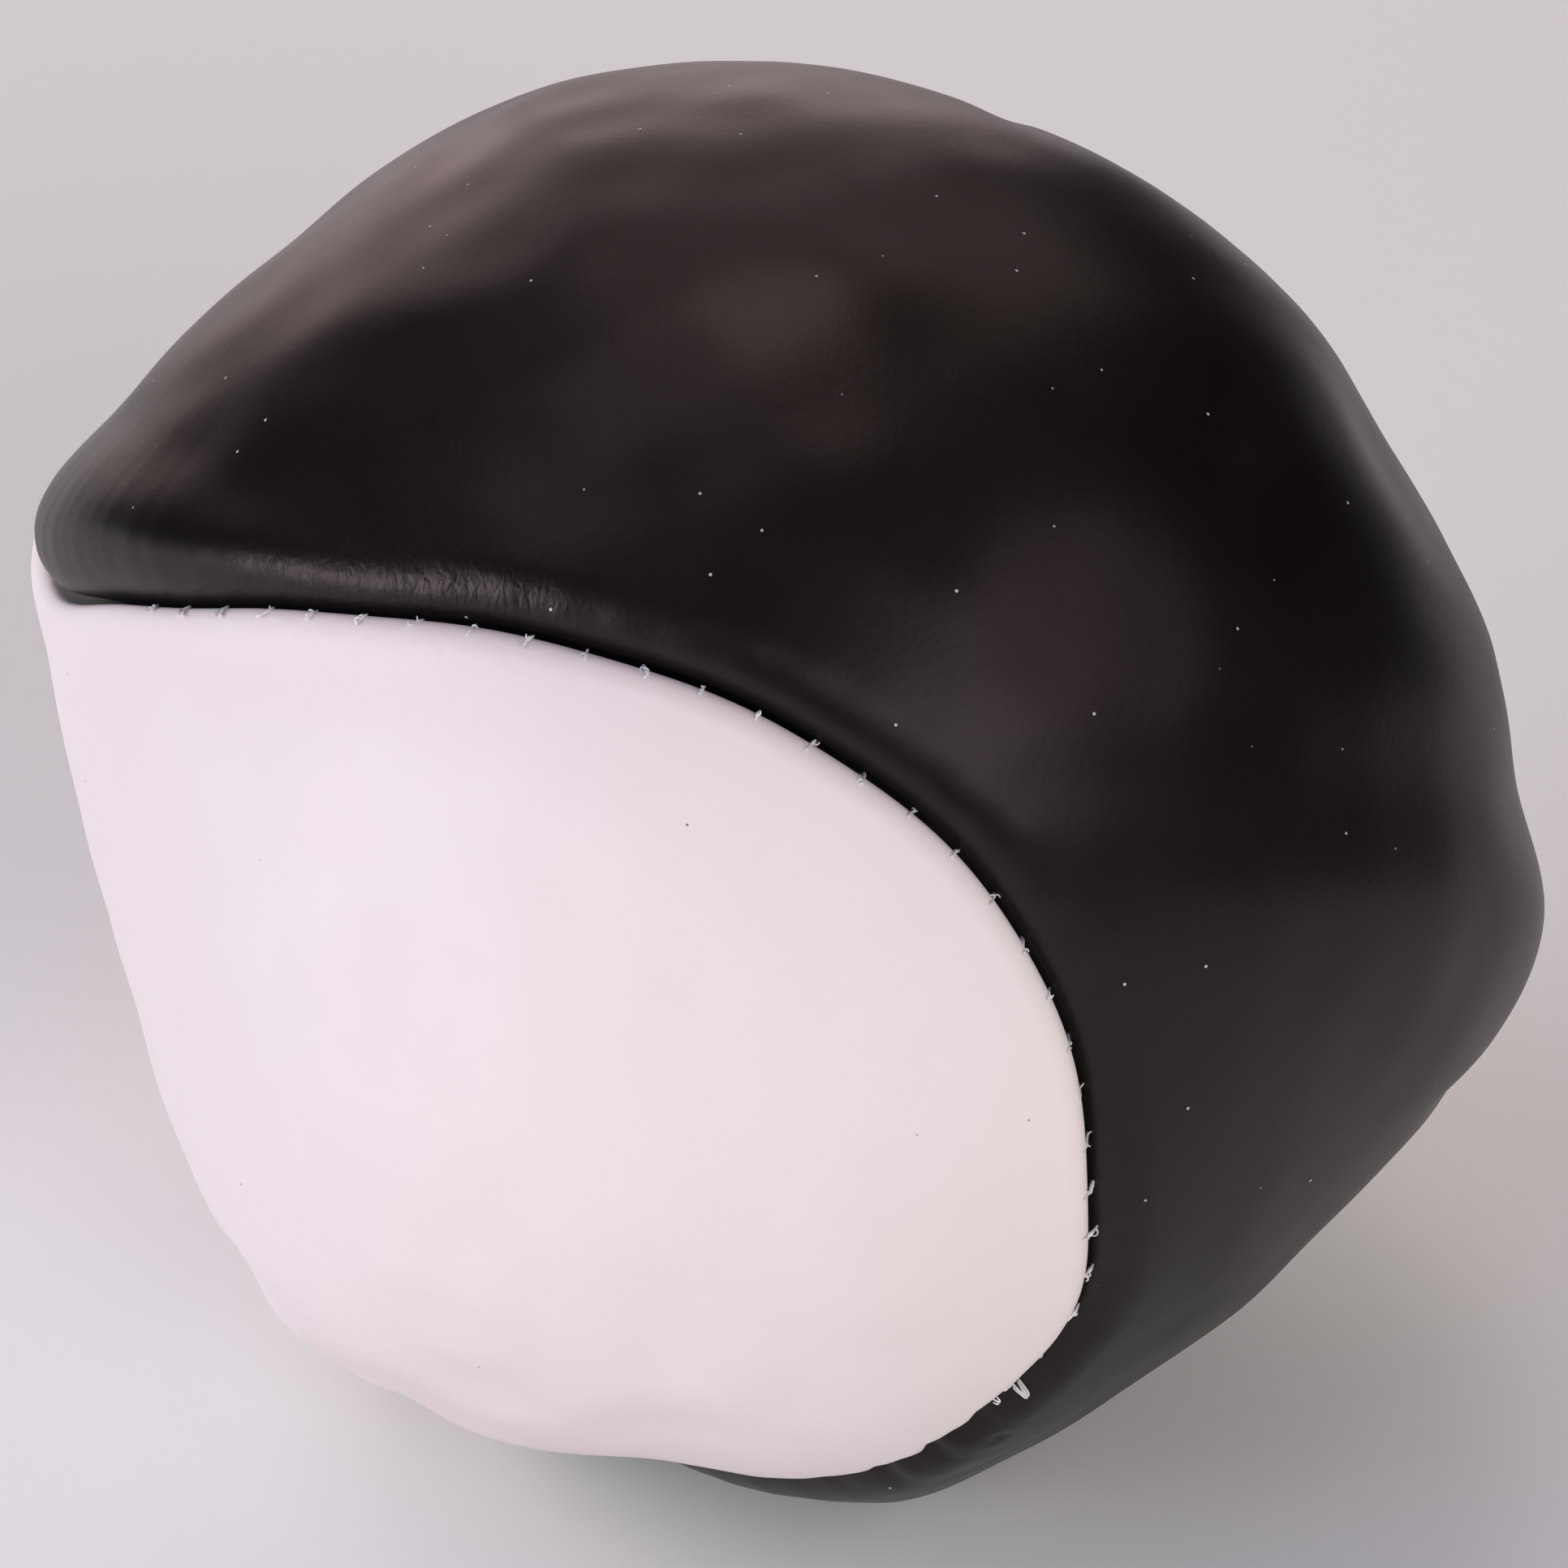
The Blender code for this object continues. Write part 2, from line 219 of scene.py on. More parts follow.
# Relief of the leather. The filling's lumps come in three sizes, each with its length, its
# share of the lump height, and what is added to that share on the left. They start at a
# distance from the seam and fade in over another.
NOISE_WAVES = 14
LUMPS = ((0.0210, 0.55, 0.0), (0.0085, 0.20, 0.14), (0.0042, 0.07, 0.17))
LUMPS_START = 0.0015
LUMPS_FADE = 0.0060
RELIEF_RISE = 0.0012

# The gathers at the black tip: the share, length and phase of two waves that bunch them, then
# each kind's place, the side it bunches to, its length, its height, and its reach from the seam
BUNCHING = ((1.3, 0.0034, 0.0), (0.9, 0.0071, 1.0))
GATHERS = (
    ("fine gathers", 1, 0.00082, 0.000003, 0.0026),
    ("long gathers", -1, 0.0019, 0.000016, 0.0050),
)

# Grid of a panel: samples round the seam, and rings on each stretch of its width
SEAM_SAMPLES = 720
STRIP_RINGS = 4
FOLD_RINGS = 18
SHOULDER_RINGS = 8
ROUND_RINGS = 34

# The cloth that settles a panel: every second ring and third sample, cut a little full. Its
# rise is blurred, capped, and faded in from the fold.
CLOTH_RING_STEP = 2
CLOTH_SAMPLE_STEP = 3
CLOTH_SETTINGS = {
    "quality": 8, "mass": 0.002, "tension_stiffness": 15, "compression_stiffness": 15,
    "shear_stiffness": 8, "bending_stiffness": 5.0, "shrink_min": -0.006,
    "use_pressure": True, "uniform_pressure_force": 4,
}
CLOTH_FRAMES = 20
CLOTH_CAP = 0.0005
CLOTH_BLUR = 0.0016
CLOTH_FADE = 0.0090

# Threads are tubes of six sides. The second value keeps the tube's frame off its own path, and
# the third is the depth at which threads take up the seam's lean.
TUBE_SIDES = 6
TUBE_SKEW = 0.3
THREAD_SHIFT_DEPTH = 0.0010

# Machine stitches: one lies at the first of these angles of the seam, and the folded edge is
# worn most at the second. Lengths are metres, and the shares are of the stitch width or of the
# thread's radius. A pair is the range of a random draw.
STITCH_AT = math.radians(206)
FOLD_WORN_AT = math.radians(182)
STITCH_SEED = 41
STITCH_STEPS = 9
STITCH_SIZES = (0.75, 1.15)
STITCH_SLANTS = (-0.00030, 0.00030)
STITCH_WIDER = 0.35
STITCH_MIDDLE = 0.00018
STITCH_OVER_WHITE = 0.50
STITCH_OVER_BLACK = 0.60
STITCH_LAPPED = 0.35
STITCH_ARCH = 0.00007
STITCH_SUNK = 0.4
STITCH_BOW = 0.6
BARED_REACH = 0.00016
BARED_LIFT = 0.00008
STRAND_RADIUS = 0.8
KNOT_RADIUS = 0.7
KNOT_PLACES = (0.25, 0.75)
KNOT_SPREAD = 0.16
WHISKER_ROOTS = (0.1, 0.9)
WHISKER_LENGTHS = (0.25, 0.6)
WHISKER_BENDS = (0.8, 2.2)
WHISKER_LIFT = 0.00005
WHISKER_RISE = 0.55
WHISKER_TURN = 2.2
WHISKER_RADIUS = 0.75
WHISKER_TAPER = 0.35

# The loops of the hand-sewn stretch have their angle in degrees, then in millimetres their
# reach over the black fold, half their width, their slant, and how deep they are sunk under the
# white edge. Each is several strands, which vary by these shares and slants.
LOOPS_START = math.radians(250.6)
LOOP_SEED = 57
LOOP_STRANDS = 4
LOOP_STEPS = 17
LOOP_OVERRUN = 0.12
LOOP_FOOT = 0.00025
LOOP_LIFT = 0.00010
LOOP_LIFTS = (0.1, 0.7)
LOOP_WAIST = 0.65
LOOP_BELLY = 0.5
LOOP_RADIUS = 0.30
LOOP_SWELL = 0.08
LOOP_SHARES = ((0.75, 0.50), (1.10, 1.60))
LOOP_SLANTS = (-0.09, 0.09)
CLOSING_LOOPS = (
    (252.7, 0.90, 0.19, 0.22, 0.0), (254.6, 0.62, 0.15, -0.05, 0.1), (256.6, 0.34, 0.10, 0.04, 0.1),
    (257.8, 0.20, 0.10, -0.04, 0.3), (259.4, 0.20, 0.13, 0.05, 0.6), (261.6, 0.20, 0.12, -0.05, 0.6),
    (263.6, 0.20, 0.13, 0.06, 0.6), (265.7, 0.20, 0.12, 0.00, 0.6), (267.6, 0.20, 0.12, -0.05, 0.6),
)

# The photograph's frame, for the camera
FRAME_PIXELS = 1932
PIXELS_PER_METRE = 32700
BAG_MIDDLE_PIXEL = (960, 965)
CAMERA_DISTANCE = 0.310
SENSOR_WIDTH = 36


def unit(vectors):
    """Vectors scaled to length one."""
    return vectors / np.linalg.norm(vectors, axis=-1, keepdims=True)


def smooth_step(share):
    """A ramp from 0 to 1 that is level at both ends: 3 s squared less 2 s cubed."""
    share = np.clip(share, 0, 1)
    return share * share * (3 - 2 * share)


def curve_through(values, place, closed):
    """The smooth curve through values along their first axis, read at fractional places: each
    span is the cubic whose slopes at its ends are half the differences of their neighbours."""
    index = np.floor(place).astype(int)
    step = (place - index).reshape(place.shape + (1,) * (values.ndim - 1))
    shown = [index + shift for shift in (-1, 0, 1, 2)]
    last = len(values) - 1
    picked = [number % len(values) if closed else np.clip(number, 0, last) for number in shown]
    before, start, end, after = (values[number] for number in picked)
    slope = end - before
    bend = 2 * before - 5 * start + 4 * end - after
    twist = 3 * (start - end) + after - before
    return start + step * (slope + step * (bend + step * twist)) / 2


def outline_share(bearings):
    """Smooth periodic curve through the outline's radius shares."""
    shares = np.array(OUTLINE_RADIUS_SHARES)
    return curve_through(shares, np.mod(bearings, math.tau) / math.tau * len(shares), True)


def bag_radius(directions):
    """Centre to skin along a direction: the mean radius times the outline's share at its
    bearing, faded by the third power of the sine of its angle from the line of view, and held
    down to the resting plane by a smooth lesser of the two."""
    right = directions[..., 0]
    up = directions[..., 1] * math.sin(VIEW_ELEVATION)
    up = up + directions[..., 2] * math.cos(VIEW_ELEVATION)
    edge = np.hypot(right, up)
    share = 1 + (outline_share(np.arctan2(up, right)) - 1) * edge ** OUTLINE_FADE_POWER
    inverse = (BAG_RADIUS * share) ** -SETTLE_POWER
    down = np.clip(-directions[..., 2], 0, None)
    settled = (down / (REST_DEPTH + REST_CUT)) ** SETTLE_POWER
    return (inverse + settled) ** (-1 / SETTLE_POWER)


def cut_flat(points):
    """Points below the resting plane, drawn back to it along their own directions."""
    down = np.clip(-points[..., 2] / REST_DEPTH, 1, None)
    return points / down[..., None]


def lay_pattern(pattern):
    """Directions in the sewing pattern, pulled out of true and turned as the bag lies."""
    turns = zip(PATTERN_TURN, "XYZ")
    about_x, about_y, about_z = (Matrix.Rotation(turn, 3, axis) for turn, axis in turns)
    turn = np.array(about_z @ about_y @ about_x)
    return unit(pattern @ np.array(SEAM_PULL_SHARES).T @ turn.T)


def middle_directions(angles, panel):
    """The point on a panel's middle line that faces each angle of the seam: an arc over the
    neck, whose swing is the reach times the cosine of the angle from the lobe's tip."""
    swing = MIDDLE_REACH * np.cos(angles - panel["tip"])
    sideways = np.sin(swing)
    return lay_pattern(np.stack([
        sideways * math.cos(panel["tip"]),
        sideways * math.sin(panel["tip"]),
        panel["neck"] * np.cos(swing),
    ], axis=-1))


def seam_directions(angles):
    """The closed seam of a two-panel ball, x = a cos t + b cos 3t, y = a sin t - b sin 3t,
    z = 2 root(ab) sin 2t with a + b = 1, swollen by a bell curve where the bag was closed."""
    swing = SEAM_SWING_SHARE
    rise = 2 * math.sqrt(swing * (1 - swing))
    across = (1 - swing) * np.cos(angles) + swing * np.cos(3 * angles)
    along = (1 - swing) * np.sin(angles) - swing * np.sin(3 * angles)
    line = lay_pattern(np.stack([across, along, rise * np.sin(2 * angles)], axis=-1))
    near = np.exp(-((angles - CLOSING_SWELL_AT) / CLOSING_SWELL_SPREAD) ** 2)
    swell = CLOSING_SWELL / BAG_RADIUS * near
    return unit(line + unit(line - middle_directions(angles, WHITE)) * swell[..., None])


def seam_frames(angles):
    """At each angle: the seam's point on the round, and unit directions along, out and across,
    where across is the cross product of out and along."""
    directions = seam_directions(angles)
    points = directions * bag_radius(directions)[..., None]
    step = math.tau / SEAM_SAMPLES / 2
    ahead = seam_directions(angles + step)
    behind = seam_directions(angles - step)
    along = unit(ahead * bag_radius(ahead)[..., None] - behind * bag_radius(behind)[..., None])
    out = unit(directions - along * (directions * along).sum(axis=-1, keepdims=True))
    return points, along, out, np.cross(out, along)


def seam_angles(samples):
    """Equal steps of the seam's angle all the way round."""
    return np.arange(samples) / samples * math.tau


def seam_run():
    """Length of seam from angle zero to each sample, and the whole length."""
    points = seam_frames(seam_angles(SEAM_SAMPLES))[0]
    steps = np.linalg.norm(np.roll(points, -1, axis=0) - points, axis=-1)
    return np.concatenate([[0], steps.cumsum()[:-1]]), steps.sum()


def panel_side(panel):
    """1 or -1: which way across the seam this panel lies."""
    angles = seam_angles(SEAM_SAMPLES)
    toward = middle_directions(angles, panel) - seam_directions(angles)
    return math.copysign(1, (toward * seam_frames(angles)[3]).sum())


def bell(angles, place):
    """A bell curve round a named place of the seam, taken the short way round."""
    middle, spread = np.radians(SEAM_PLACES[place])
    apart = np.mod(angles - middle + math.pi, math.tau) - math.pi
    return np.exp(-(apart / spread) ** 2)


def seam_lean(angles):
    """How far the two folds lean over, toward the white panel's side where positive: the black
    fold laps over the white one at the left tip, and lies under it along the top and where the
    bag was closed."""
    over = LEAN_OVER * bell(angles, "lap")
    return over - LEAN_TOP * bell(angles, "top lean") - LEAN_UNDER * bell(angles, "closing lean")


def tuck(panel, angles, distance):
    """How far a panel dips: broadly at the left tip and at the bottom, and the white one at its
    edge all round, most of all under the black fold at the tip."""
    tip, bottom = bell(angles, "tip dip"), bell(angles, "bottom dip")
    broad = panel["tip_tuck"] * tip + panel["bottom_tuck"] * bottom
    edge = panel["edge_tuck"] + panel["tip_edge_tuck"] * bell(angles, "tip edge")
    broad = broad * np.exp(-(distance / TUCK_REACH) ** 2)
    return broad + edge * np.exp(-(distance / TUCK_EDGE_REACH) ** 2)


def seam_wander(angles, run):
    """Sideways waves of the seam: slight all round, and along the hand-sewn stretch shallow
    steps, a sine less half its double, that are steep on one side and slow on the other."""
    phase = run / WANDER_LENGTH * math.tau
    slight = WANDER_SLIGHT * np.sin(phase) * np.sin(run / WANDER_LENGTH * SLOW_WAVE * math.tau)
    start = np.interp(CLOSING_STEP_AT, seam_angles(SEAM_SAMPLES), seam_run()[0])
    phase = (run - start) / CLOSING_STEP_LENGTH * math.tau
    steps = (np.sin(phase) - 0.5 * np.sin(2 * phase)) * bell(angles, "closing steps")
    return WANDER * (slight + WANDER_STEPS * steps)


def seam_shift(angles, run, distance, depth):
    """Movement across the seam, toward the white panel: the lean fades down the folds, and both
    the lean and the wander fade outward over the shoulder by a bell curve."""
    height = smooth_step(1 - (depth - SHIFT_FULL_DEPTH) / SEAM_ALLOWANCE)
    near = np.exp(-(distance / SHIFT_REACH) ** 2)
    return (seam_lean(angles) * height + seam_wander(angles, run)) * near


def cover_profile(panel):
    """For each ring: offset from the seam, depth below the round, and share of the way from the
    shoulder to the middle line. The turned-in strip is straight, the fold a quarter of an
    ellipse, and the shoulder lies on the round."""
    fold, drop = panel["fold"], panel["drop"]
    start = SEAM_GAP / 2
    strip = np.linspace(drop + SEAM_ALLOWANCE, drop, STRIP_RINGS, endpoint=False)
    turn = np.linspace(0, math.pi / 2, FOLD_RINGS, endpoint=False)
    shoulder = np.linspace(start + fold, SHOULDER_WIDTH, SHOULDER_RINGS, endpoint=False)
    share = np.linspace(0, 1, ROUND_RINGS + 1)
    offset = np.concatenate([
        np.full(STRIP_RINGS, start),
        start + fold * (1 - np.cos(turn)),
        shoulder,
        np.full(ROUND_RINGS + 1, SHOULDER_WIDTH),
    ])
    level = np.zeros(SHOULDER_RINGS + ROUND_RINGS + 1)
    depth = np.concatenate([strip, drop * (1 - np.sin(turn)), level])
    way = np.concatenate([np.zeros(STRIP_RINGS + FOLD_RINGS + SHOULDER_RINGS), share])
    return offset[:, None], depth[:, None], way[:, None, None]


def cover_surface(panel):
    """The panel's outer surface before it settles, as rings by samples, with each point's
    distance from the seam. A point lies on the round, at its offset from the seam or its share
    of the way to the middle line, less its depth along the seam's outward direction."""
    angles = seam_angles(SEAM_SAMPLES)
    run = seam_run()[0]
    out, across = seam_frames(angles)[2:]
    side = panel_side(panel)
    offset, depth, way = cover_profile(panel)
    toward_white = side if panel is WHITE else -side
    sideways = unit(seam_directions(angles) + across * side * offset[..., None] / BAG_RADIUS)
    directions = unit(sideways * (1 - way) + middle_directions(angles, panel) * way)
    reach = BAG_RADIUS * np.arccos(np.clip((sideways * directions).sum(axis=-1), -1, 1))
    distance = offset + reach
    shift = seam_shift(angles, run, distance, depth)[..., None] * across * toward_white
    sunk = depth + tuck(panel, angles, distance)
    return directions * bag_radius(directions)[..., None] - out * sunk[..., None] + shift, distance


def facing_sample(panel, samples):
    """For each sample, the lesser number of the pair that meets it on the middle line."""
    number = np.arange(samples)
    tip = round(panel["tip"] / math.tau * samples)
    return np.minimum(number, (2 * tip - number) % samples)


def grid_normals(grid, side):
    """Outward normals of a grid that is closed along its samples: the cross product of the
    differences along and across the seam."""
    along = np.roll(grid, -1, axis=1) - np.roll(grid, 1, axis=1)
    across = np.gradient(grid, axis=0)
    return unit(np.cross(along, across) * side)


def soft_noise(points, size, seed):
    """Smooth noise of about -1 to 1: a sum of sine waves of one length in random directions."""
    source = np.random.default_rng(seed)
    headings = unit(source.normal(size=(NOISE_WAVES, 3)))
    phases = source.uniform(0, math.tau, NOISE_WAVES)
    waves = np.sin(points @ headings.T / size * math.tau + phases)
    return waves.sum(axis=-1) / math.sqrt(NOISE_WAVES)


def seam_place(run_there):
    """The seam's angle at each run from angle zero, by straight lines between the samples."""
    run, length = seam_run()
    angles = np.append(seam_angles(SEAM_SAMPLES), math.tau)
    return np.interp(np.mod(run_there, length), np.append(run, length), angles)


def stitch_runs():
    """Run along the seam of each machine stitch, and their pitch. A whole number of stitches
    goes round the seam, and one lies where the photograph shows one."""
    run, length = seam_run()
    count = round(length / bpy.context.scene.footbag.stitch_pitch)
    start = np.interp(STITCH_AT, seam_angles(SEAM_SAMPLES), run)
    return np.mod(start + np.arange(count) * length / count, length), length / count


def run_cloth(cloth, held):
    """The points of a cover after Blender's cloth, with its first points held still."""
    group = cloth.vertex_groups.new(name="seam")
    group.add(list(range(held)), 1, "REPLACE")
    drape = cloth.modifiers.new("cloth", "CLOTH")
    drape.settings.vertex_group_mass = group.name
    for setting, value in CLOTH_SETTINGS.items():
        setattr(drape.settings, setting, value)
    drape.settings.effector_weights.gravity = 0
    drape.collision_settings.use_collision = False
    drape.point_cache.frame_end = CLOTH_FRAMES
    scene = bpy.context.scene
    for number in range(1, CLOTH_FRAMES + 1):
        scene.frame_set(number)
    settled = cloth.evaluated_get(bpy.context.evaluated_depsgraph_get()).to_mesh()
    points = np.empty(len(settled.vertices) * 3)
    settled.vertices.foreach_get("co", points)
    bpy.data.meshes.remove(cloth.data)
    scene.frame_set(1)
    return points.reshape(-1, 3) - np.array(CENTRE)


def settle_cloth(name, grid, panel):
    """How far Blender's cloth moves each point of the grid outward: the ring at the fold is
    held, the rest is cut a little full and pressed outward by the filling. The rise is taken
    from its own mean, blurred by a bell curve, held under the cap, and read back to the full
    grid by a smooth curve both ways."""
    first = STRIP_RINGS + FOLD_RINGS
    coarse = grid[first::CLOTH_RING_STEP, ::CLOTH_SAMPLE_STEP]
    if (len(grid) - 1 - first) % CLOTH_RING_STEP:
        coarse = np.concatenate([coarse, grid[-1:, ::CLOTH_SAMPLE_STEP]])
    rings, samples = coarse.shape[:2]
    facing = facing_sample(panel, samples)
    points = run_cloth(cover_object(name, coarse, facing, panel_side(panel)), samples)
    inner = points[: (rings - 1) * samples].reshape(rings - 1, samples, 3)
    last = points[(rings - 1) * samples:][np.unique(facing, return_inverse=True)[1]]
    outward = unit(coarse)
    rise = ((np.concatenate([inner, last[None]]) - coarse) * outward).sum(axis=-1)
    spots, values = coarse.reshape(-1, 3), rise.ravel() - rise.mean()
    for ring in range(rings):
        apart = np.linalg.norm(coarse[ring][:, None] - spots[None], axis=-1)
        near = np.exp(-(apart / CLOTH_BLUR) ** 2)
        rise[ring] = near @ values / near.sum(axis=-1)
    rise = CLOTH_CAP * np.tanh(rise / CLOTH_CAP)
    places = np.arange(grid.shape[1]) / CLOTH_SAMPLE_STEP
    rise = curve_through(rise.T, places, True).T
    places = np.clip((np.arange(len(grid)) - first) / CLOTH_RING_STEP, 0, rings - 1)
    return curve_through(rise, places, False)


def new_piece(name, points, faces):
    """An object in the scene whose smooth mesh has these points, measured from the bag's
    centre, and these faces."""
    mesh = bpy.data.meshes.new(name)
    mesh.from_pydata(points + np.array(CENTRE), [], faces)
    mesh.shade_smooth()
    piece = bpy.data.objects.new(name, mesh)
    bpy.context.scene.collection.objects.link(piece)
    return piece


def cover_object(name, grid, facing, side):
    """An object whose faces join the grid's neighbours all round the seam, with the last ring's
    facing points shared, so that the surface closes along the panel's middle line."""
    rings, samples = grid.shape[:2]
    shown, place = np.unique(facing, return_inverse=True)
    points = np.concatenate([grid[:-1].reshape(-1, 3), grid[-1][shown]])
    numbers = np.arange((rings - 1) * samples).reshape(rings - 1, samples)
    numbers = np.concatenate([numbers, (rings - 1) * samples + place[None]])
    after = np.roll(numbers, -1, axis=1)
    corners = [numbers[:-1], after[:-1], after[1:], numbers[1:]]
    faces = np.stack(corners if side > 0 else corners[::-1], axis=-1).reshape(-1, 4)
    return new_piece(name, points, faces.tolist())


def view_axes():
    """Unit directions right, up and toward the camera, as rows."""
    sine, cosine = math.sin(VIEW_ELEVATION), math.cos(VIEW_ELEVATION)
    return np.array([(1, 0, 0), (0, sine, cosine), (0, -cosine, sine)])


def creases(points, panel):
    """Depth of the panel's larger creases and dimples: each is a valley with a bell curve
    across it and another along it. One is placed by its bearing in the picture, its tilt from
    the outline toward the camera, and its heading from the line of view."""
    depth = 0
    for bearing, tilt, heading, length, width, deep in np.array(panel["creases"]):
        bearing, tilt, heading = np.radians([bearing, tilt, heading])
        aim = np.array([np.cos(tilt) * np.cos(bearing), np.cos(tilt) * np.sin(bearing), np.sin(tilt)])
        toward = unit(np.array([0, 0, 1]) - aim * aim[2])
        aside = np.cross(aim, toward)
        line = np.cos(heading) * toward + np.sin(heading) * aside
        aim, line = aim @ view_axes(), line @ view_axes()
        along = points @ line / length
        across = points @ np.cross(aim, line) / width
        facing = smooth_step(points @ aim / BAG_RADIUS * 2)
        depth = depth + deep * np.exp(-along ** 2 - across ** 2) * facing
    return depth


def tip_gathers(angles, run, distance):
    """Height of the gathers at the black panel's left tip: fine waves along the run that
    bunch and spread, on the tightest bend only, over longer waves that reach further out. Each
    is a sine times a bell curve along the seam and another across it."""
    bunch = sum(share * np.sin(run / length * math.tau + phase) for share, length, phase in BUNCHING)
    height = 0
    for place, way, length, tall, reach in GATHERS:
        waves = np.sin(run / length * math.tau + way * bunch) * bell(angles, place)
        height = height + tall * waves * np.exp(-(distance / reach) ** 2)
    return height


def relief(panel, points, angles, run, distance):
    """Height of the leather over its settled form: soft lumps of the filling, three sizes of
    noise that fade at the seam, the smaller ones most on the left; less the larger creases; less
    puckers with a valley at each stitch, deepest at the fold and gone a few millimetres out;
    and the gathers at the black panel's tip."""
    settings = bpy.context.scene.footbag
    stitches, pitch = stitch_runs()
    leftward = smooth_step(0.5 - points[..., 0] / BAG_RADIUS)
    lumps = sum(
        (share + more * leftward) * soft_noise(points, size, panel["seed"] + number)
        for number, (size, share, more) in enumerate(LUMPS)
    )
    lumps = settings.lump_height * lumps * smooth_step((distance - LUMPS_START) / LUMPS_FADE)
    lumps = lumps - creases(points, panel)
    valley = 0.5 + 0.5 * np.cos((run - stitches[0]) / pitch * math.tau)
    near = np.exp(-(distance / panel["pucker_reach"]) ** 2)
    puckers = panel["pucker"] * settings.pucker_depth * valley * near
    gathers = panel["gathers"] * tip_gathers(angles, run, distance)
    return lumps + (gathers - puckers) * smooth_step(distance / RELIEF_RISE)


def cover_piece(name, panel):
    """One finished panel: surface, settled cloth, relief along the normals by the seam and
    straight outward over the round, flat where it rests, then a wall of the leather's
    thickness. Its UV map is the run along the seam and the distance from it, in metres."""
    grid, distance = cover_surface(panel)
    side = panel_side(panel)
    facing = facing_sample(panel, SEAM_SAMPLES)
    tip = round(panel["tip"] / math.tau * SEAM_SAMPLES)
    meeting = (2 * tip - np.arange(SEAM_SAMPLES)) % SEAM_SAMPLES
    fade = smooth_step((distance - panel["fold"]) / CLOTH_FADE)
    grid = grid + unit(grid) * (settle_cloth(name, grid, panel) * fade)[..., None]
    angles = seam_angles(SEAM_SAMPLES)
    run, length = seam_run()
    over_round = smooth_step((distance - panel["fold"]) / SHOULDER_WIDTH)[..., None]
    normals = unit(grid_normals(grid, side) * (1 - over_round) + unit(grid) * over_round)
    grid = grid + normals * relief(panel, grid, angles, run, distance)[..., None]
    grid[-1] = (grid[-1] + grid[-1][meeting]) / 2
    piece = cover_object(name, cut_flat(grid), facing, side)
    add_seam_map(piece, panel, run, length, distance)
    wall = piece.modifiers.new("leather", "SOLIDIFY")
    wall.thickness = COVER_THICKNESS
    wall.offset = -1
    return piece


def add_seam_map(piece, panel, run, length, distance):
    """UV map of the run along the seam and the distance from it. A face past the last sample
    takes the whole length, so that no face's map runs backward."""
    rings = len(distance) - 1
    start = np.tile(np.arange(SEAM_SAMPLES), rings)
    ring = np.repeat(np.arange(rings), SEAM_SAMPLES)
    runs = np.append(run, length)
    corners = [(ring, start), (ring, start + 1), (ring + 1, start + 1), (ring + 1, start)]
    corners = corners if panel_side(panel) > 0 else corners[::-1]
    spots = [
        np.stack([runs[sample], distance[row, sample % SEAM_SAMPLES]], axis=-1)
        for row, sample in corners
    ]
    layer = piece.data.uv_layers.new(name="seam map")
    layer.data.foreach_set("uv", np.stack(spots, axis=1).ravel())


def thread_bits(name, paths, radii, heights):
    """Tubes along many short paths in one mesh: six-sided rings square to each path, whose
    radius comes from the share of the way along, with both ends closed."""
    count, steps = paths.shape[:2]
    along = unit(np.gradient(paths, axis=1))
    skew = along.mean(axis=1, keepdims=True) * TUBE_SKEW
    aside = unit(np.cross(along, heights[:, None, :] + skew))
    up = np.cross(aside, along)
    turn = np.arange(TUBE_SIDES) / TUBE_SIDES * math.tau
    ring = aside[:, :, None] * np.cos(turn)[:, None] + up[:, :, None] * np.sin(turn)[:, None]
    points = (paths[:, :, None] + ring * radii[:, :, None, None]).reshape(-1, 3)
    numbers = np.arange(count * steps * TUBE_SIDES).reshape(count, steps, TUBE_SIDES)
    after = np.roll(numbers, -1, axis=2)
    walls = np.stack([numbers[:, :-1], numbers[:, 1:], after[:, 1:], after[:, :-1]], axis=-1)
    ends = np.concatenate([numbers[:, 0], numbers[:, -1, ::-1]])
    return new_piece(name, points, walls.reshape(-1, 4).tolist() + ends.tolist())


def seam_spots(run, aside, depth):
    """Points by the seam at a run along it, a distance aside that is positive toward the white
    panel, and a depth below the round, carried along by the seam's lean and wander."""
    angles = seam_place(run)
    points, _, out, across = seam_frames(angles)
    toward_white = panel_side(WHITE)
    shift = seam_shift(angles, run, np.abs(aside), np.full_like(aside, THREAD_SHIFT_DEPTH))
    sunk = depth + tuck(WHITE, angles, np.abs(aside))
    return points + across * toward_white * (aside + shift)[..., None] - out * sunk[..., None]


def fold_depth(aside):
    """Depth of the folds' surface at a distance to either side of the seam: the quarter of an
    ellipse of the panel on that side."""
    return np.where(aside > 0, ellipse_depth(aside, WHITE), ellipse_depth(-aside, BLACK))


def ellipse_depth(reach, panel):
    """Depth of a panel's fold at a reach from the seam."""
    inward = np.clip(1 - (reach - SEAM_GAP / 2) / panel["fold"], 0, 1)
    return panel["drop"] * (1 - np.sqrt(1 - inward ** 2))


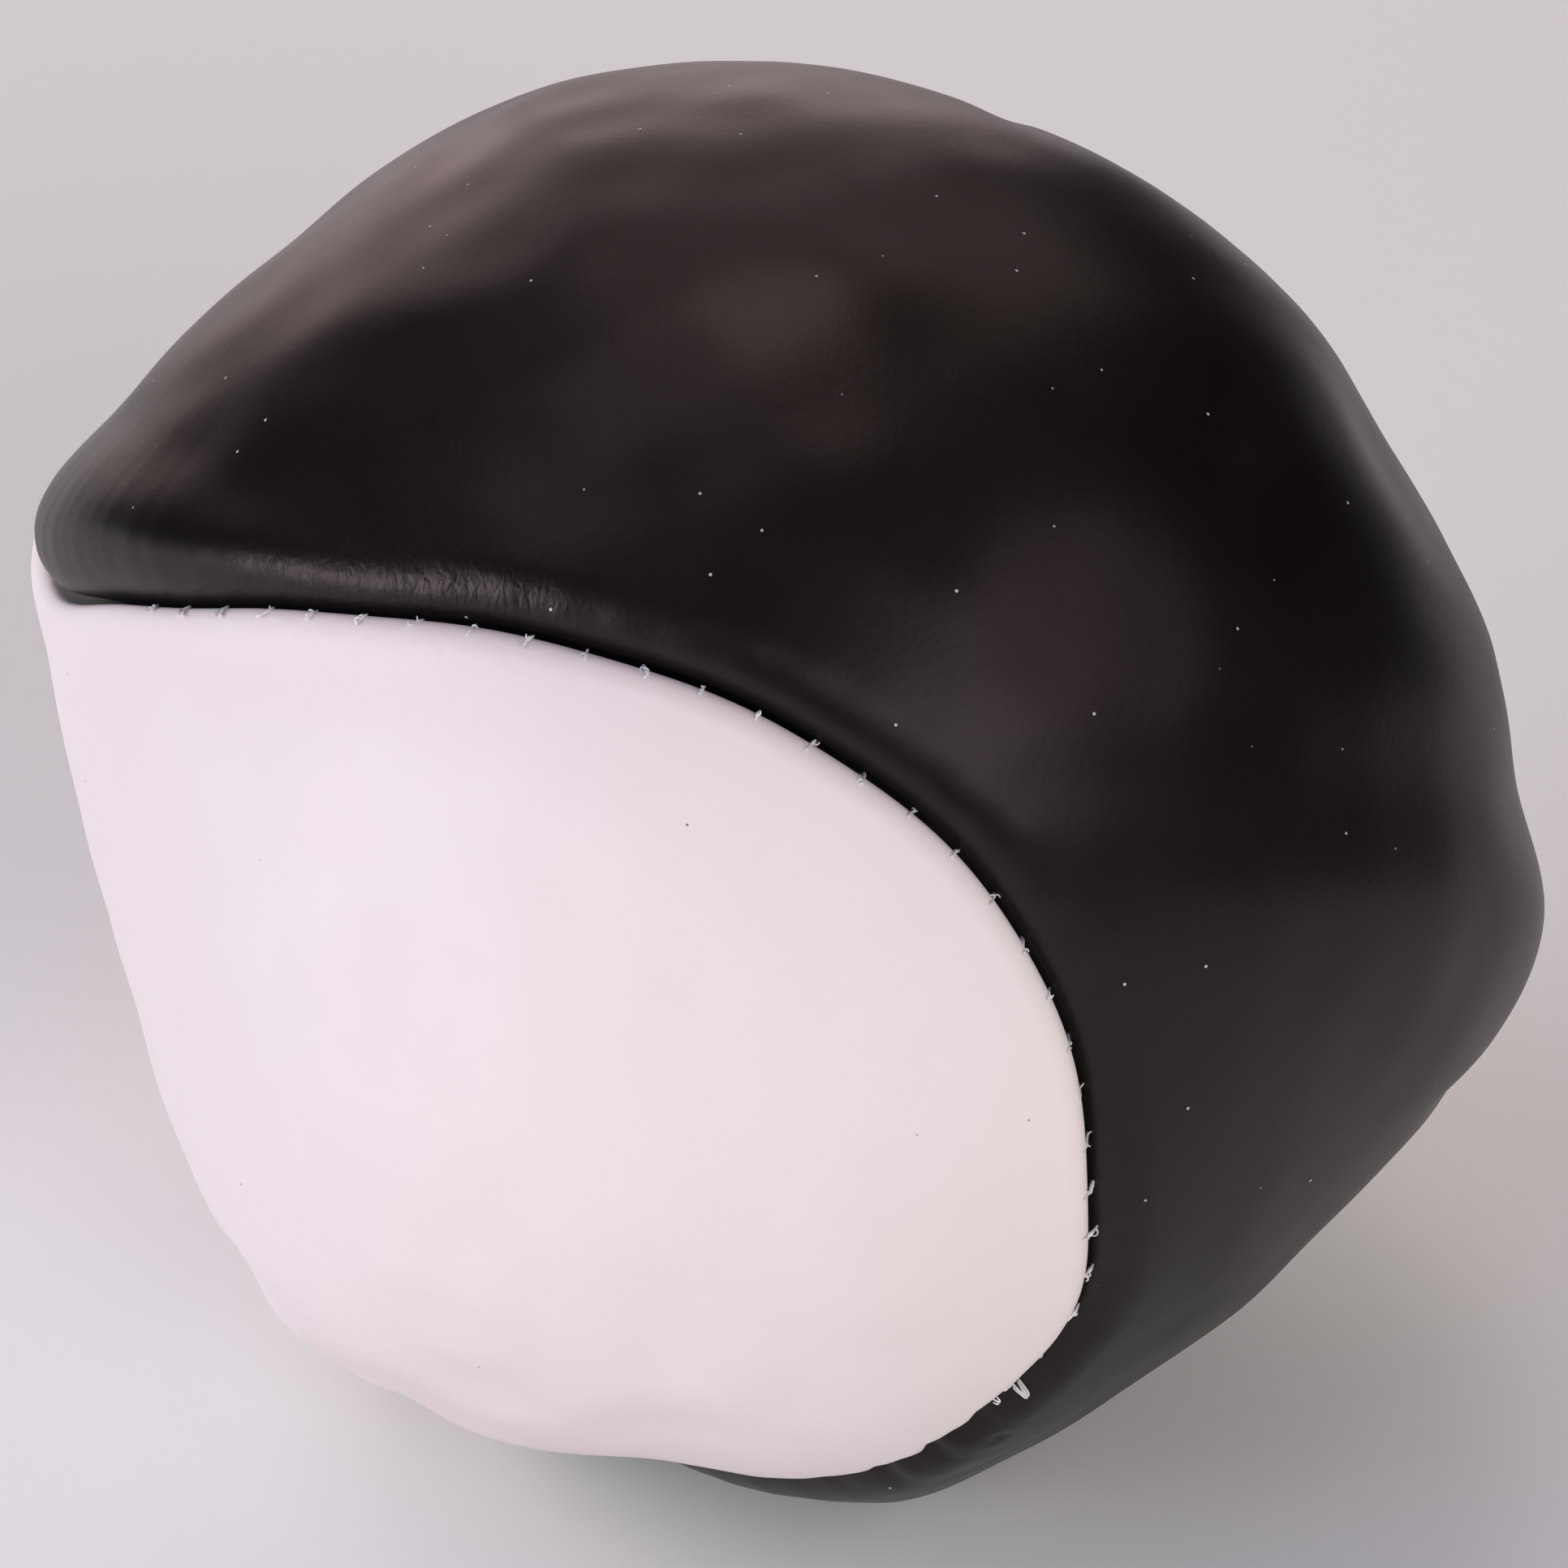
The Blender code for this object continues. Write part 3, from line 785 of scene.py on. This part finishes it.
def machine_stitches():
    """Short bits of clear nylon at each machine stitch that no fold hides. Each has three
    strands: one spans the groove in a flat arch from the white fold to the black one, thickest
    at its knot, and two thin whiskers leave it and curl out of the groove, each in its own way."""
    settings = bpy.context.scene.footbag
    source = np.random.default_rng(STITCH_SEED)
    runs = stitch_runs()[0]
    angles = seam_place(runs)
    machined = (angles < LOOPS_START) | (angles > CLOSING_END)
    runs = runs[machined & (bell(angles, "lap") < HIDING_LAP)]
    angles = seam_place(runs)[:, None]
    count = len(runs)
    thick = settings.thread_width / 2
    way = np.linspace(0, 1, STITCH_STEPS)[None]
    size = settings.stitch_width * source.uniform(*STITCH_SIZES, (count, 1))
    size = size * (1 + STITCH_WIDER * bell(angles, "wide stitches"))
    slant = source.uniform(*STITCH_SLANTS, (count, 1))
    lapped = STITCH_LAPPED * bell(angles, "lapped stitches")
    bared = bell(angles, "bared stitches")
    white_end = STITCH_MIDDLE + (STITCH_OVER_WHITE + lapped) * size
    black_end = STITCH_MIDDLE - (STITCH_OVER_BLACK - lapped) * size - BARED_REACH * bared
    arch = np.sin(way * math.pi)

    def span(share, lift):
        """Place aside and depth at a share of the way over the groove, lifted off the folds."""
        aside = white_end + (black_end - white_end) * share
        flat = fold_depth(white_end) + (fold_depth(black_end) - fold_depth(white_end)) * share
        return aside, flat - settings.thread_width * STITCH_SUNK - lift - BARED_LIFT * bared * share

    aside, depth = span(way, STITCH_ARCH * arch)
    forward = slant * (way - 0.5 + STITCH_BOW * arch * source.uniform(-1, 1, (count, 1)))
    knot = source.uniform(*KNOT_PLACES, (count, 1))
    paths = [seam_spots(runs[:, None] + forward, aside, depth)]
    radius = [thick * (STRAND_RADIUS + KNOT_RADIUS * np.exp(-((way - knot) / KNOT_SPREAD) ** 2))]
    for curl in (-1, 1):
        root = source.uniform(*WHISKER_ROOTS, (count, 1))
        length = size * source.uniform(*WHISKER_LENGTHS, (count, 1))
        heading = source.uniform(0, math.tau, (count, 1))
        heading = heading + curl * source.uniform(*WHISKER_BENDS, (count, 1)) * way
        start_aside, start_depth = span(root, WHISKER_LIFT)
        aside = start_aside + length * way * np.cos(heading)
        forward = slant * (root - 0.5) + length * way * np.sin(heading)
        depth = start_depth - length * WHISKER_RISE * np.sin(way * WHISKER_TURN)
        paths.append(seam_spots(runs[:, None] + forward, aside, depth))
        radius.append(thick * (WHISKER_RADIUS - WHISKER_TAPER * way) * np.ones_like(length))
    heights = seam_frames(seam_place(np.tile(runs, 3)))[2]
    return thread_bits("machine_stitches", np.concatenate(paths), np.concatenate(radius), heights)


def closing_stitches():
    """The hand-sewn stretch: loops of frayed thread, several thin strands each, that come out
    from under the white edge, lie on the black fold in half ovals drawn together at their feet,
    and go back under. A strand's reach is the sine of its turn, and its width the cosine."""
    settings = bpy.context.scene.footbag
    source = np.random.default_rng(LOOP_SEED)
    loops = np.repeat(np.array(CLOSING_LOOPS), LOOP_STRANDS, axis=0)
    loops[:, 1:3] *= source.uniform(*LOOP_SHARES, (len(loops), 2))
    loops[:, 3] += source.uniform(*LOOP_SLANTS, len(loops))
    places = np.interp(np.radians(loops[:, 0]), seam_angles(SEAM_SAMPLES), seam_run()[0])[:, None]
    reach, half_width, slant, sunk = (loops[:, [column]] * MILLIMETRE for column in (1, 2, 3, 4))
    turn = np.linspace(-LOOP_OVERRUN, 1 + LOOP_OVERRUN, LOOP_STEPS)[None] * math.pi
    bow = np.sin(turn)
    aside = LOOP_FOOT - (reach + LOOP_FOOT) * bow
    forward = half_width * np.cos(turn) * (LOOP_WAIST + LOOP_BELLY * bow) + slant * bow
    lift = source.uniform(*LOOP_LIFTS, (len(loops), 1)) * settings.closing_thread_width
    depth = fold_depth(aside) - lift - LOOP_LIFT * bow + sunk
    paths = seam_spots(places + forward, aside, depth)
    thick = LOOP_RADIUS + LOOP_SWELL * bow
    radii = settings.closing_thread_width / 2 * thick * np.ones_like(reach)
    return thread_bits("closing_stitches", paths, radii, seam_frames(seam_place(places[:, 0]))[2])


def feed(tree, node, inputs):
    """Sets a node's inputs to values, or links them to sockets."""
    for label, value in dict(inputs).items():
        if isinstance(value, bpy.types.NodeSocket):
            tree.links.new(value, node.inputs[label])
        else:
            node.inputs[label].default_value = value
    return node


def add_node(tree, kind, inputs=(), **settings):
    """A shader node with its settings and its inputs."""
    node = tree.nodes.new("ShaderNode" + kind)
    for setting, value in settings.items():
        setattr(node, setting, value)
    return feed(tree, node, inputs)


def reckon(tree, operation, *terms):
    """The output of a Math node on terms that are numbers or sockets."""
    return add_node(tree, "Math", enumerate(terms), operation=operation).outputs[0]


def reckon_vector(tree, operation, vector, terms):
    """The output of a Vector Math node on a vector and its other terms, by their numbers."""
    return add_node(tree, "VectorMath", {0: vector, **terms}, operation=operation).outputs[0]


def noise(tree, vector, scale, detail, **inputs):
    """The outputs of a Noise node of this scale and detail."""
    inputs = {"Vector": vector, "Scale": scale, "Detail": detail, **inputs}
    return add_node(tree, "TexNoise", inputs).outputs


def ramp(tree, value, first, last, low=0.0, high=1.0, way="LINEAR"):
    """A value carried from the range first to last into the range low to high, and held at the
    ends of that range."""
    ends = {"Value": value, 1: first, 2: last, 3: low, 4: high}
    return add_node(tree, "MapRange", ends, interpolation_type=way).outputs[0]


def new_group(name, inputs, outputs):
    """An empty shader node group with named inputs, their defaults, and named outputs."""
    tree = bpy.data.node_groups.new(name, "ShaderNodeTree")
    for label, (kind, default) in inputs.items():
        socket = tree.interface.new_socket(label, in_out="INPUT", socket_type="NodeSocket" + kind)
        if default is not None:
            socket.default_value = default
    for label, kind in outputs.items():
        tree.interface.new_socket(label, in_out="OUTPUT", socket_type="NodeSocket" + kind)
    return tree, tree.nodes.new("NodeGroupInput").outputs, tree.nodes.new("NodeGroupOutput").inputs


def leather_grain():
    """Height of a smooth coated leather's grain: low pebbles, high in their middles, over
    finer streaks of noise that are drawn out along one direction."""
    tree, given, made = new_group(
        "Leather grain",
        {"Vector": ("Vector", None), "Pebble Size": ("Float", 0.0005), "Pebbles": ("Float", 0.3)},
        {"Height": "Float"},
    )
    scale = reckon(tree, "DIVIDE", 1.0, given["Pebble Size"])
    warp = noise(tree, given["Vector"], WARP_SCALE, 2.0)["Color"]
    apart = reckon_vector(tree, "SUBTRACT", warp, {1: (0.5, 0.5, 0.5)})
    push = reckon_vector(tree, "SCALE", apart, {3: WARP_PUSH})
    place = reckon_vector(tree, "ADD", given["Vector"], {1: push})
    cells = add_node(tree, "TexVoronoi", {"Vector": place, "Scale": scale}, feature="SMOOTH_F1")
    pebble = ramp(tree, cells.outputs["Distance"], 0.7, 0.1, way="SMOOTHSTEP")
    drawn = add_node(tree, "Mapping", {
        "Vector": place, "Scale": STREAK_STRETCH, "Rotation": STREAK_TURN,
    })
    streaks = noise(tree, drawn.outputs[0], scale, 4.0, Roughness=0.6)
    low = reckon(tree, "MULTIPLY", pebble, given["Pebbles"])
    tree.links.new(reckon(tree, "ADD", low, streaks["Fac"]), made["Height"])
    return tree


def specks():
    """Mask of tiny round specks, scattered so that few of them meet the surface."""
    tree, given, made = new_group(
        "Specks",
        {"Vector": ("Vector", None), "Spacing": ("Float", 0.002), "Speck Radius": ("Float", 0.00006)},
        {"Mask": "Float"},
    )
    scale = reckon(tree, "DIVIDE", 1.0, given["Spacing"])
    cells = add_node(tree, "TexVoronoi", {"Vector": given["Vector"], "Scale": scale})
    away = reckon(tree, "MULTIPLY", cells.outputs["Distance"], given["Spacing"])
    share = reckon(tree, "DIVIDE", away, given["Speck Radius"])
    tree.links.new(ramp(tree, share, 1.2, 0.6), made["Mask"])
    return tree


def handling():
    """Soft uneven patches from handling, from 0 to 1: broad noise with a little fine noise."""
    tree, given, made = new_group(
        "Handling",
        {"Vector": ("Vector", None), "Patch Size": ("Float", 0.009)},
        {"Value": "Float"},
    )
    scale = reckon(tree, "DIVIDE", 1.0, given["Patch Size"])
    broad = noise(tree, given["Vector"], scale, 4.0, Roughness=0.55)
    tree.links.new(ramp(tree, broad["Fac"], 0.3, 0.7, way="SMOOTHSTEP"), made["Value"])
    return tree


def fold_crinkles():
    """Height of fine crinkles across a folded edge, close to the seam only: noise stretched
    along the second direction of the seam map, masked by distance. They are strongest where
    the fold is worn, and elsewhere faint and in patches."""
    tree, given, made = new_group(
        "Fold crinkles",
        {
            "Seam Map": ("Vector", None), "Spacing": ("Float", 0.00017),
            "Reach": ("Float", 0.0030), "Worn At": ("Float", 0.0),
        },
        {"Height": "Float"},
    )
    parts = add_node(tree, "SeparateXYZ", {"Vector": given["Seam Map"]}).outputs
    across = reckon(tree, "MULTIPLY", parts["Y"], CRINKLE_STRETCH)
    place = add_node(tree, "CombineXYZ", {"X": parts["X"], "Y": across})
    scale = reckon(tree, "DIVIDE", 0.5, given["Spacing"])
    lines = noise(tree, place.outputs[0], scale, 2.0, Distortion=0.4)
    patches = noise(tree, given["Seam Map"], CRINKLE_PATCH_SCALE, 1.0)
    patch = ramp(tree, patches["Fac"], 0.40, 0.62, high=CRINKLE_FAINT)
    apart = reckon(tree, "ABSOLUTE", reckon(tree, "SUBTRACT", parts["X"], given["Worn At"]))
    worn = ramp(tree, apart, *WORN_FADE, way="SMOOTHSTEP")
    strength = reckon(tree, "MAXIMUM", patch, worn)
    near = ramp(tree, parts["Y"], given["Reach"], CRINKLE_FULL)
    mask = reckon(tree, "MULTIPLY", strength, near)
    tree.links.new(reckon(tree, "MULTIPLY", lines["Fac"], mask), made["Height"])
    return tree


GROUPS = {
    "Leather grain": leather_grain,
    "Specks": specks,
    "Handling": handling,
    "Fold crinkles": fold_crinkles,
}


def use_group(tree, name, inputs):
    """The outputs of a placed node group, with its own values for its inputs. The group is
    built once, and found again by its name."""
    node = tree.nodes.new("ShaderNodeGroup")
    node.node_tree = bpy.data.node_groups.get(name) or GROUPS[name]()
    return feed(tree, node, inputs).outputs


def new_material(name, inputs):
    """A material with its nodes, the inputs of its Principled shader, whose constants are set on
    its own sockets, and the outputs of its texture coordinates."""
    material = bpy.data.materials.new(name)
    material.use_nodes = True
    tree = material.node_tree
    shader = feed(tree, tree.nodes["Principled BSDF"], inputs)
    return material, tree, shader.inputs, add_node(tree, "TexCoord").outputs


def mixed(tree, share, first, second):
    """The colour output of a Mix node from the first colour to the second."""
    node = add_node(tree, "Mix", {0: share, 6: first, 7: second}, data_type="RGBA")
    return node.outputs[2]


def handled(tree, spot, finish, first, second):
    """Colour and roughness in soft patches from handling: the colour goes from the first to
    the second, and the roughness through the finish's range."""
    patches = use_group(tree, "Handling", {"Vector": spot["Object"], "Patch Size": finish["patch"]})
    colour = mixed(tree, patches["Value"], first, second)
    return colour, ramp(tree, patches["Value"], 0.0, 1.0, *finish["rough"])


def grained(tree, spot, finish):
    """A normal bumped by the leather's grain, at the finish's size and depth."""
    grain = use_group(tree, "Leather grain", {"Vector": spot["Object"], "Pebble Size": finish["pebble"]})
    bump = {"Height": grain["Height"], "Distance": finish["grain_depth"]}
    return add_node(tree, "Bump", bump).outputs[0]


def leather_material(name, colour, finish):
    """Coated leather: base colour with handled patches and dust, roughness that follows them,
    and a bump of grain and of crinkles over the fold."""
    material, tree, shader, spot = new_material(name, finish["shader"])
    base, rough = handled(tree, spot, finish, (*colour, 1), finish["worn"])
    dust = use_group(tree, "Specks", {
        "Vector": spot["Object"],
        "Spacing": finish["speck_spacing"],
        "Speck Radius": finish["speck_radius"],
    })
    tree.links.new(mixed(tree, dust["Mask"], base, finish["speck"]), shader["Base Color"])
    tree.links.new(reckon(tree, "ADD", rough, dust["Mask"]), shader["Roughness"])
    worn_at = float(np.interp(FOLD_WORN_AT, seam_angles(SEAM_SAMPLES), seam_run()[0]))
    crinkle = use_group(tree, "Fold crinkles", {
        "Seam Map": spot["UV"], "Reach": finish["crinkle_reach"], "Worn At": worn_at,
    })
    creased = add_node(tree, "Bump", {
        "Height": crinkle["Height"], "Distance": finish["crinkle_depth"],
        "Normal": grained(tree, spot, finish),
    })
    tree.links.new(creased.outputs[0], shader["Normal"])
    return material


def plain_material(name, finish, shade, light):
    """A material whose colour and roughness change in soft patches only, unless the finish has
    a grain, which then bumps it."""
    material, tree, shader, spot = new_material(name, finish["shader"])
    base, rough = handled(tree, spot, finish, shade, light)
    tree.links.new(base, shader["Base Color"])
    tree.links.new(rough, shader["Roughness"])
    if "pebble" in finish:
        tree.links.new(grained(tree, spot, finish), shader["Normal"])
    return material


def nylon_material():
    """Bright nylon thread: pale and glossy, with slight patches of tone."""
    return plain_material("nylon thread", NYLON_FINISH, NYLON_FINISH["shade"], NYLON_FINISH["light"])


def pellet_material():
    """Milky recycled plastic pellets: slight patches of tone, waxy gloss, fine pits."""
    return plain_material("plastic pellets", PELLET_FINISH, PELLET_FINISH["shade"], PELLET_FINISH["light"])


def paper_material(colour):
    """Plain matt studio paper, with the faintest unevenness."""
    shade = tuple(part * PAPER_SHADE for part in colour)
    return plain_material("studio paper", PAPER_FINISH, (*shade, 1), (*colour, 1))


class FootbagSettings(bpy.types.PropertyGroup):
    """Sizes and colours of the dressed footbag and its studio."""

    black_colour: bpy.props.FloatVectorProperty(
        name="Black leather", description="Base colour of the black panel", subtype="COLOR",
        default=(0.0030, 0.0024, 0.0021), min=0, max=1)
    white_colour: bpy.props.FloatVectorProperty(
        name="White leather", description="Base colour of the white panel", subtype="COLOR",
        default=(0.80, 0.70, 0.72), min=0, max=1)
    lump_height: bpy.props.FloatProperty(
        name="Lump height", description="How far the filling pushes soft lumps out",
        default=0.00022, min=0, max=0.001, precision=5, unit="LENGTH")
    pucker_depth: bpy.props.FloatProperty(
        name="Pucker depth", description="Depth of the deepest puckers at the stitches",
        default=0.00016, min=0, max=0.001, precision=5, unit="LENGTH")
    stitch_pitch: bpy.props.FloatProperty(
        name="Stitch pitch", description="Distance between machine stitches",
        default=0.0022, min=0.001, max=0.005, precision=4, unit="LENGTH")
    stitch_width: bpy.props.FloatProperty(
        name="Stitch width", description="How wide a machine stitch shows over the seam",
        default=0.00042, min=0.0003, max=0.002, precision=4, unit="LENGTH")
    thread_width: bpy.props.FloatProperty(
        name="Thread width", description="Diameter of a strand of the machine thread",
        default=0.00012, min=0.00005, max=0.0006, precision=5, unit="LENGTH")
    closing_thread_width: bpy.props.FloatProperty(
        name="Closing thread", description="Diameter of a strand of the hand-sewn thread",
        default=0.00023, min=0.0001, max=0.0006, precision=5, unit="LENGTH")
    floor_colour: bpy.props.FloatVectorProperty(
        name="Floor", description="Colour of the studio floor", subtype="COLOR",
        default=(0.86, 0.85, 0.85), min=0, max=1)
    light_level: bpy.props.FloatProperty(
        name="Light", description="Brightness of the whole studio", subtype="FACTOR",
        default=1.0, min=0, soft_max=3)


def dress(piece, material):
    """Gives a new piece its material and slot, and lets it ride with the bag."""
    piece.data.materials.append(material)
    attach(piece, "root")


class FootbagBlackPanel(bpy.types.Operator):
    """Black panel of coated leather, folded in along its seam"""

    bl_idname = "footbag.black_panel"
    bl_label = "Black panel"

    def execute(self, context):
        piece = cover_piece("black_cover", BLACK)
        colour = tuple(context.scene.footbag.black_colour)
        dress(piece, leather_material("black leather", colour, BLACK_FINISH))
        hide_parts("black_panel")
        return {"FINISHED"}


class FootbagWhitePanel(bpy.types.Operator):
    """White panel of coated leather, folded in along its seam"""

    bl_idname = "footbag.white_panel"
    bl_label = "White panel"

    def execute(self, context):
        piece = cover_piece("white_cover", WHITE)
        colour = tuple(context.scene.footbag.white_colour)
        dress(piece, leather_material("white leather", colour, WHITE_FINISH))
        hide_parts("white_panel")
        return {"FINISHED"}


class FootbagStitches(bpy.types.Operator):
    """Machine stitches and the hand-sewn closing stitches"""

    bl_idname = "footbag.stitches"
    bl_label = "Stitches"

    def execute(self, context):
        nylon = nylon_material()
        dress(machine_stitches(), nylon)
        closing = closing_stitches()
        dress(closing, nylon)
        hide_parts("closing_thread")
        for node in ("needle_thread", "bobbin_thread"):
            finish_node(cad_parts[node], nylon)
        return {"FINISHED"}


class FootbagFilling(bpy.types.Operator):
    """Finish of the plastic pellets inside"""

    bl_idname = "footbag.filling"
    bl_label = "Filling"

    def execute(self, context):
        plastic = pellet_material()
        for name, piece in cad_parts.items():
            if name.startswith("pellet"):
                finish_node(piece, plastic)
        return {"FINISHED"}


def finish_node(piece, material):
    """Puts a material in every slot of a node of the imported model."""
    for place in piece.material_slots:
        place.material = material


class FootbagStage(bpy.types.Operator):
    """Pale floor, soft lights, and a camera at the photograph's angle"""

    bl_idname = "footbag.stage"
    bl_label = "Stage"

    def execute(self, context):
        settings = context.scene.footbag
        lay_floor(settings)
        for name, lamp in LAMPS.items():
            hang_lamp(name, *lamp, settings.light_level)
        light_room(context.scene, settings.light_level)
        set_camera(context.scene)
        context.scene.view_settings.view_transform = "Standard"
        return {"FINISHED"}


def lay_floor(settings):
    """A flat square of studio paper under the bag, and a wide border of it all round, which the
    leather's gloss doesn't show."""
    paper = paper_material(tuple(settings.floor_colour))
    square = np.array([(-1, -1, 0), (1, -1, 0), (1, 1, 0), (-1, 1, 0)])
    corners = np.concatenate([square * FLOOR_HALF, square * FLOOR_BORDER_HALF])
    border = [(0, 4, 5, 1), (1, 5, 6, 2), (2, 6, 7, 3), (3, 7, 4, 0)]
    sheets = {"floor": [(0, 1, 2, 3)], "floor border": border}
    for name, faces in sheets.items():
        mesh = bpy.data.meshes.new(name)
        mesh.from_pydata(corners, [], faces)
        mesh.validate()
        floor = bpy.data.objects.new(name, mesh)
        floor.data.materials.append(paper)
        floor.visible_glossy = name == "floor"
        bpy.context.scene.collection.objects.link(floor)


def hang_lamp(name, bearing, height, width, power, glossy, level):
    """A soft square lamp facing the bag from a bearing and a height."""
    light = bpy.data.lights.new(name, "AREA")
    light.size = width
    light.color = [part / max(power) for part in power]
    light.energy = max(power) * level
    bearing, height = math.radians(bearing), math.radians(height)
    flat = math.cos(height)
    heading = Vector((math.sin(bearing) * flat, -math.cos(bearing) * flat, math.sin(height)))
    holder = bpy.data.objects.new(name, light)
    turn = heading.to_track_quat("Z", "Y").to_matrix().to_4x4()
    holder.matrix_world = Matrix.Translation(CENTRE + heading * LAMP_DISTANCE) @ turn
    holder.visible_glossy = glossy
    bpy.context.scene.collection.objects.link(holder)


def light_room(scene, level):
    """The room's even light, which the leather's gloss doesn't show."""
    world = bpy.data.worlds.new("studio")
    scene.world = world
    world.use_nodes = True
    back = world.node_tree.nodes["Background"]
    back.inputs["Color"].default_value = (*ROOM_COLOUR, 1)
    back.inputs["Strength"].default_value = ROOM_LEVEL * level
    world.cycles_visibility.glossy = False


def set_camera(scene):
    """The camera stands in front of the bag, looking down at the photograph's angle, and its
    lens gives the photograph's scale at the bag's middle."""
    lens = bpy.data.cameras.new("camera")
    half_frame = FRAME_PIXELS / 2 / PIXELS_PER_METRE
    lens.sensor_width = SENSOR_WIDTH
    lens.lens = lens.sensor_width / 2 * CAMERA_DISTANCE / half_frame
    back = Vector((0, -math.cos(VIEW_ELEVATION), math.sin(VIEW_ELEVATION)))
    up = Vector((0, math.sin(VIEW_ELEVATION), math.cos(VIEW_ELEVATION)))
    right = (FRAME_PIXELS / 2 - BAG_MIDDLE_PIXEL[0]) / PIXELS_PER_METRE
    down = (FRAME_PIXELS / 2 - BAG_MIDDLE_PIXEL[1]) / PIXELS_PER_METRE
    camera = bpy.data.objects.new("camera", lens)
    place = CENTRE + back * CAMERA_DISTANCE + Vector((right, 0, 0)) - up * down
    camera.matrix_world = Matrix.Translation(place) @ back.to_track_quat("Z", "Y").to_matrix().to_4x4()
    scene.collection.objects.link(camera)
    scene.camera = camera


class FootbagSidebar(bpy.types.Panel):
    """Lists the footbag's operators and settings"""

    bl_idname = "VIEW3D_PT_footbag"
    bl_label = "Footbag"
    bl_space_type = "VIEW_3D"
    bl_region_type = "UI"
    bl_category = "Footbag"

    def draw(self, context):
        for step in STEPS:
            self.layout.operator(step.bl_idname)
        settings = context.scene.footbag
        for name in FootbagSettings.__annotations__:
            self.layout.prop(settings, name)


STEPS = (FootbagBlackPanel, FootbagWhitePanel, FootbagStitches, FootbagFilling, FootbagStage)
CLASSES = (FootbagSettings, *STEPS, FootbagSidebar)


def register():
    """Makes the settings, operators and sidebar known to Blender."""
    for each in CLASSES:
        bpy.utils.register_class(each)
    bpy.types.Scene.footbag = bpy.props.PointerProperty(type=FootbagSettings)


def unregister():
    """Takes them away again."""
    del bpy.types.Scene.footbag
    for each in reversed(CLASSES):
        bpy.utils.unregister_class(each)


def main():
    """Dresses the bag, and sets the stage."""
    register()
    bpy.ops.footbag.black_panel()
    bpy.ops.footbag.white_panel()
    bpy.ops.footbag.stitches()
    bpy.ops.footbag.filling()
    bpy.ops.footbag.stage()


if __name__ == "__main__":
    main()
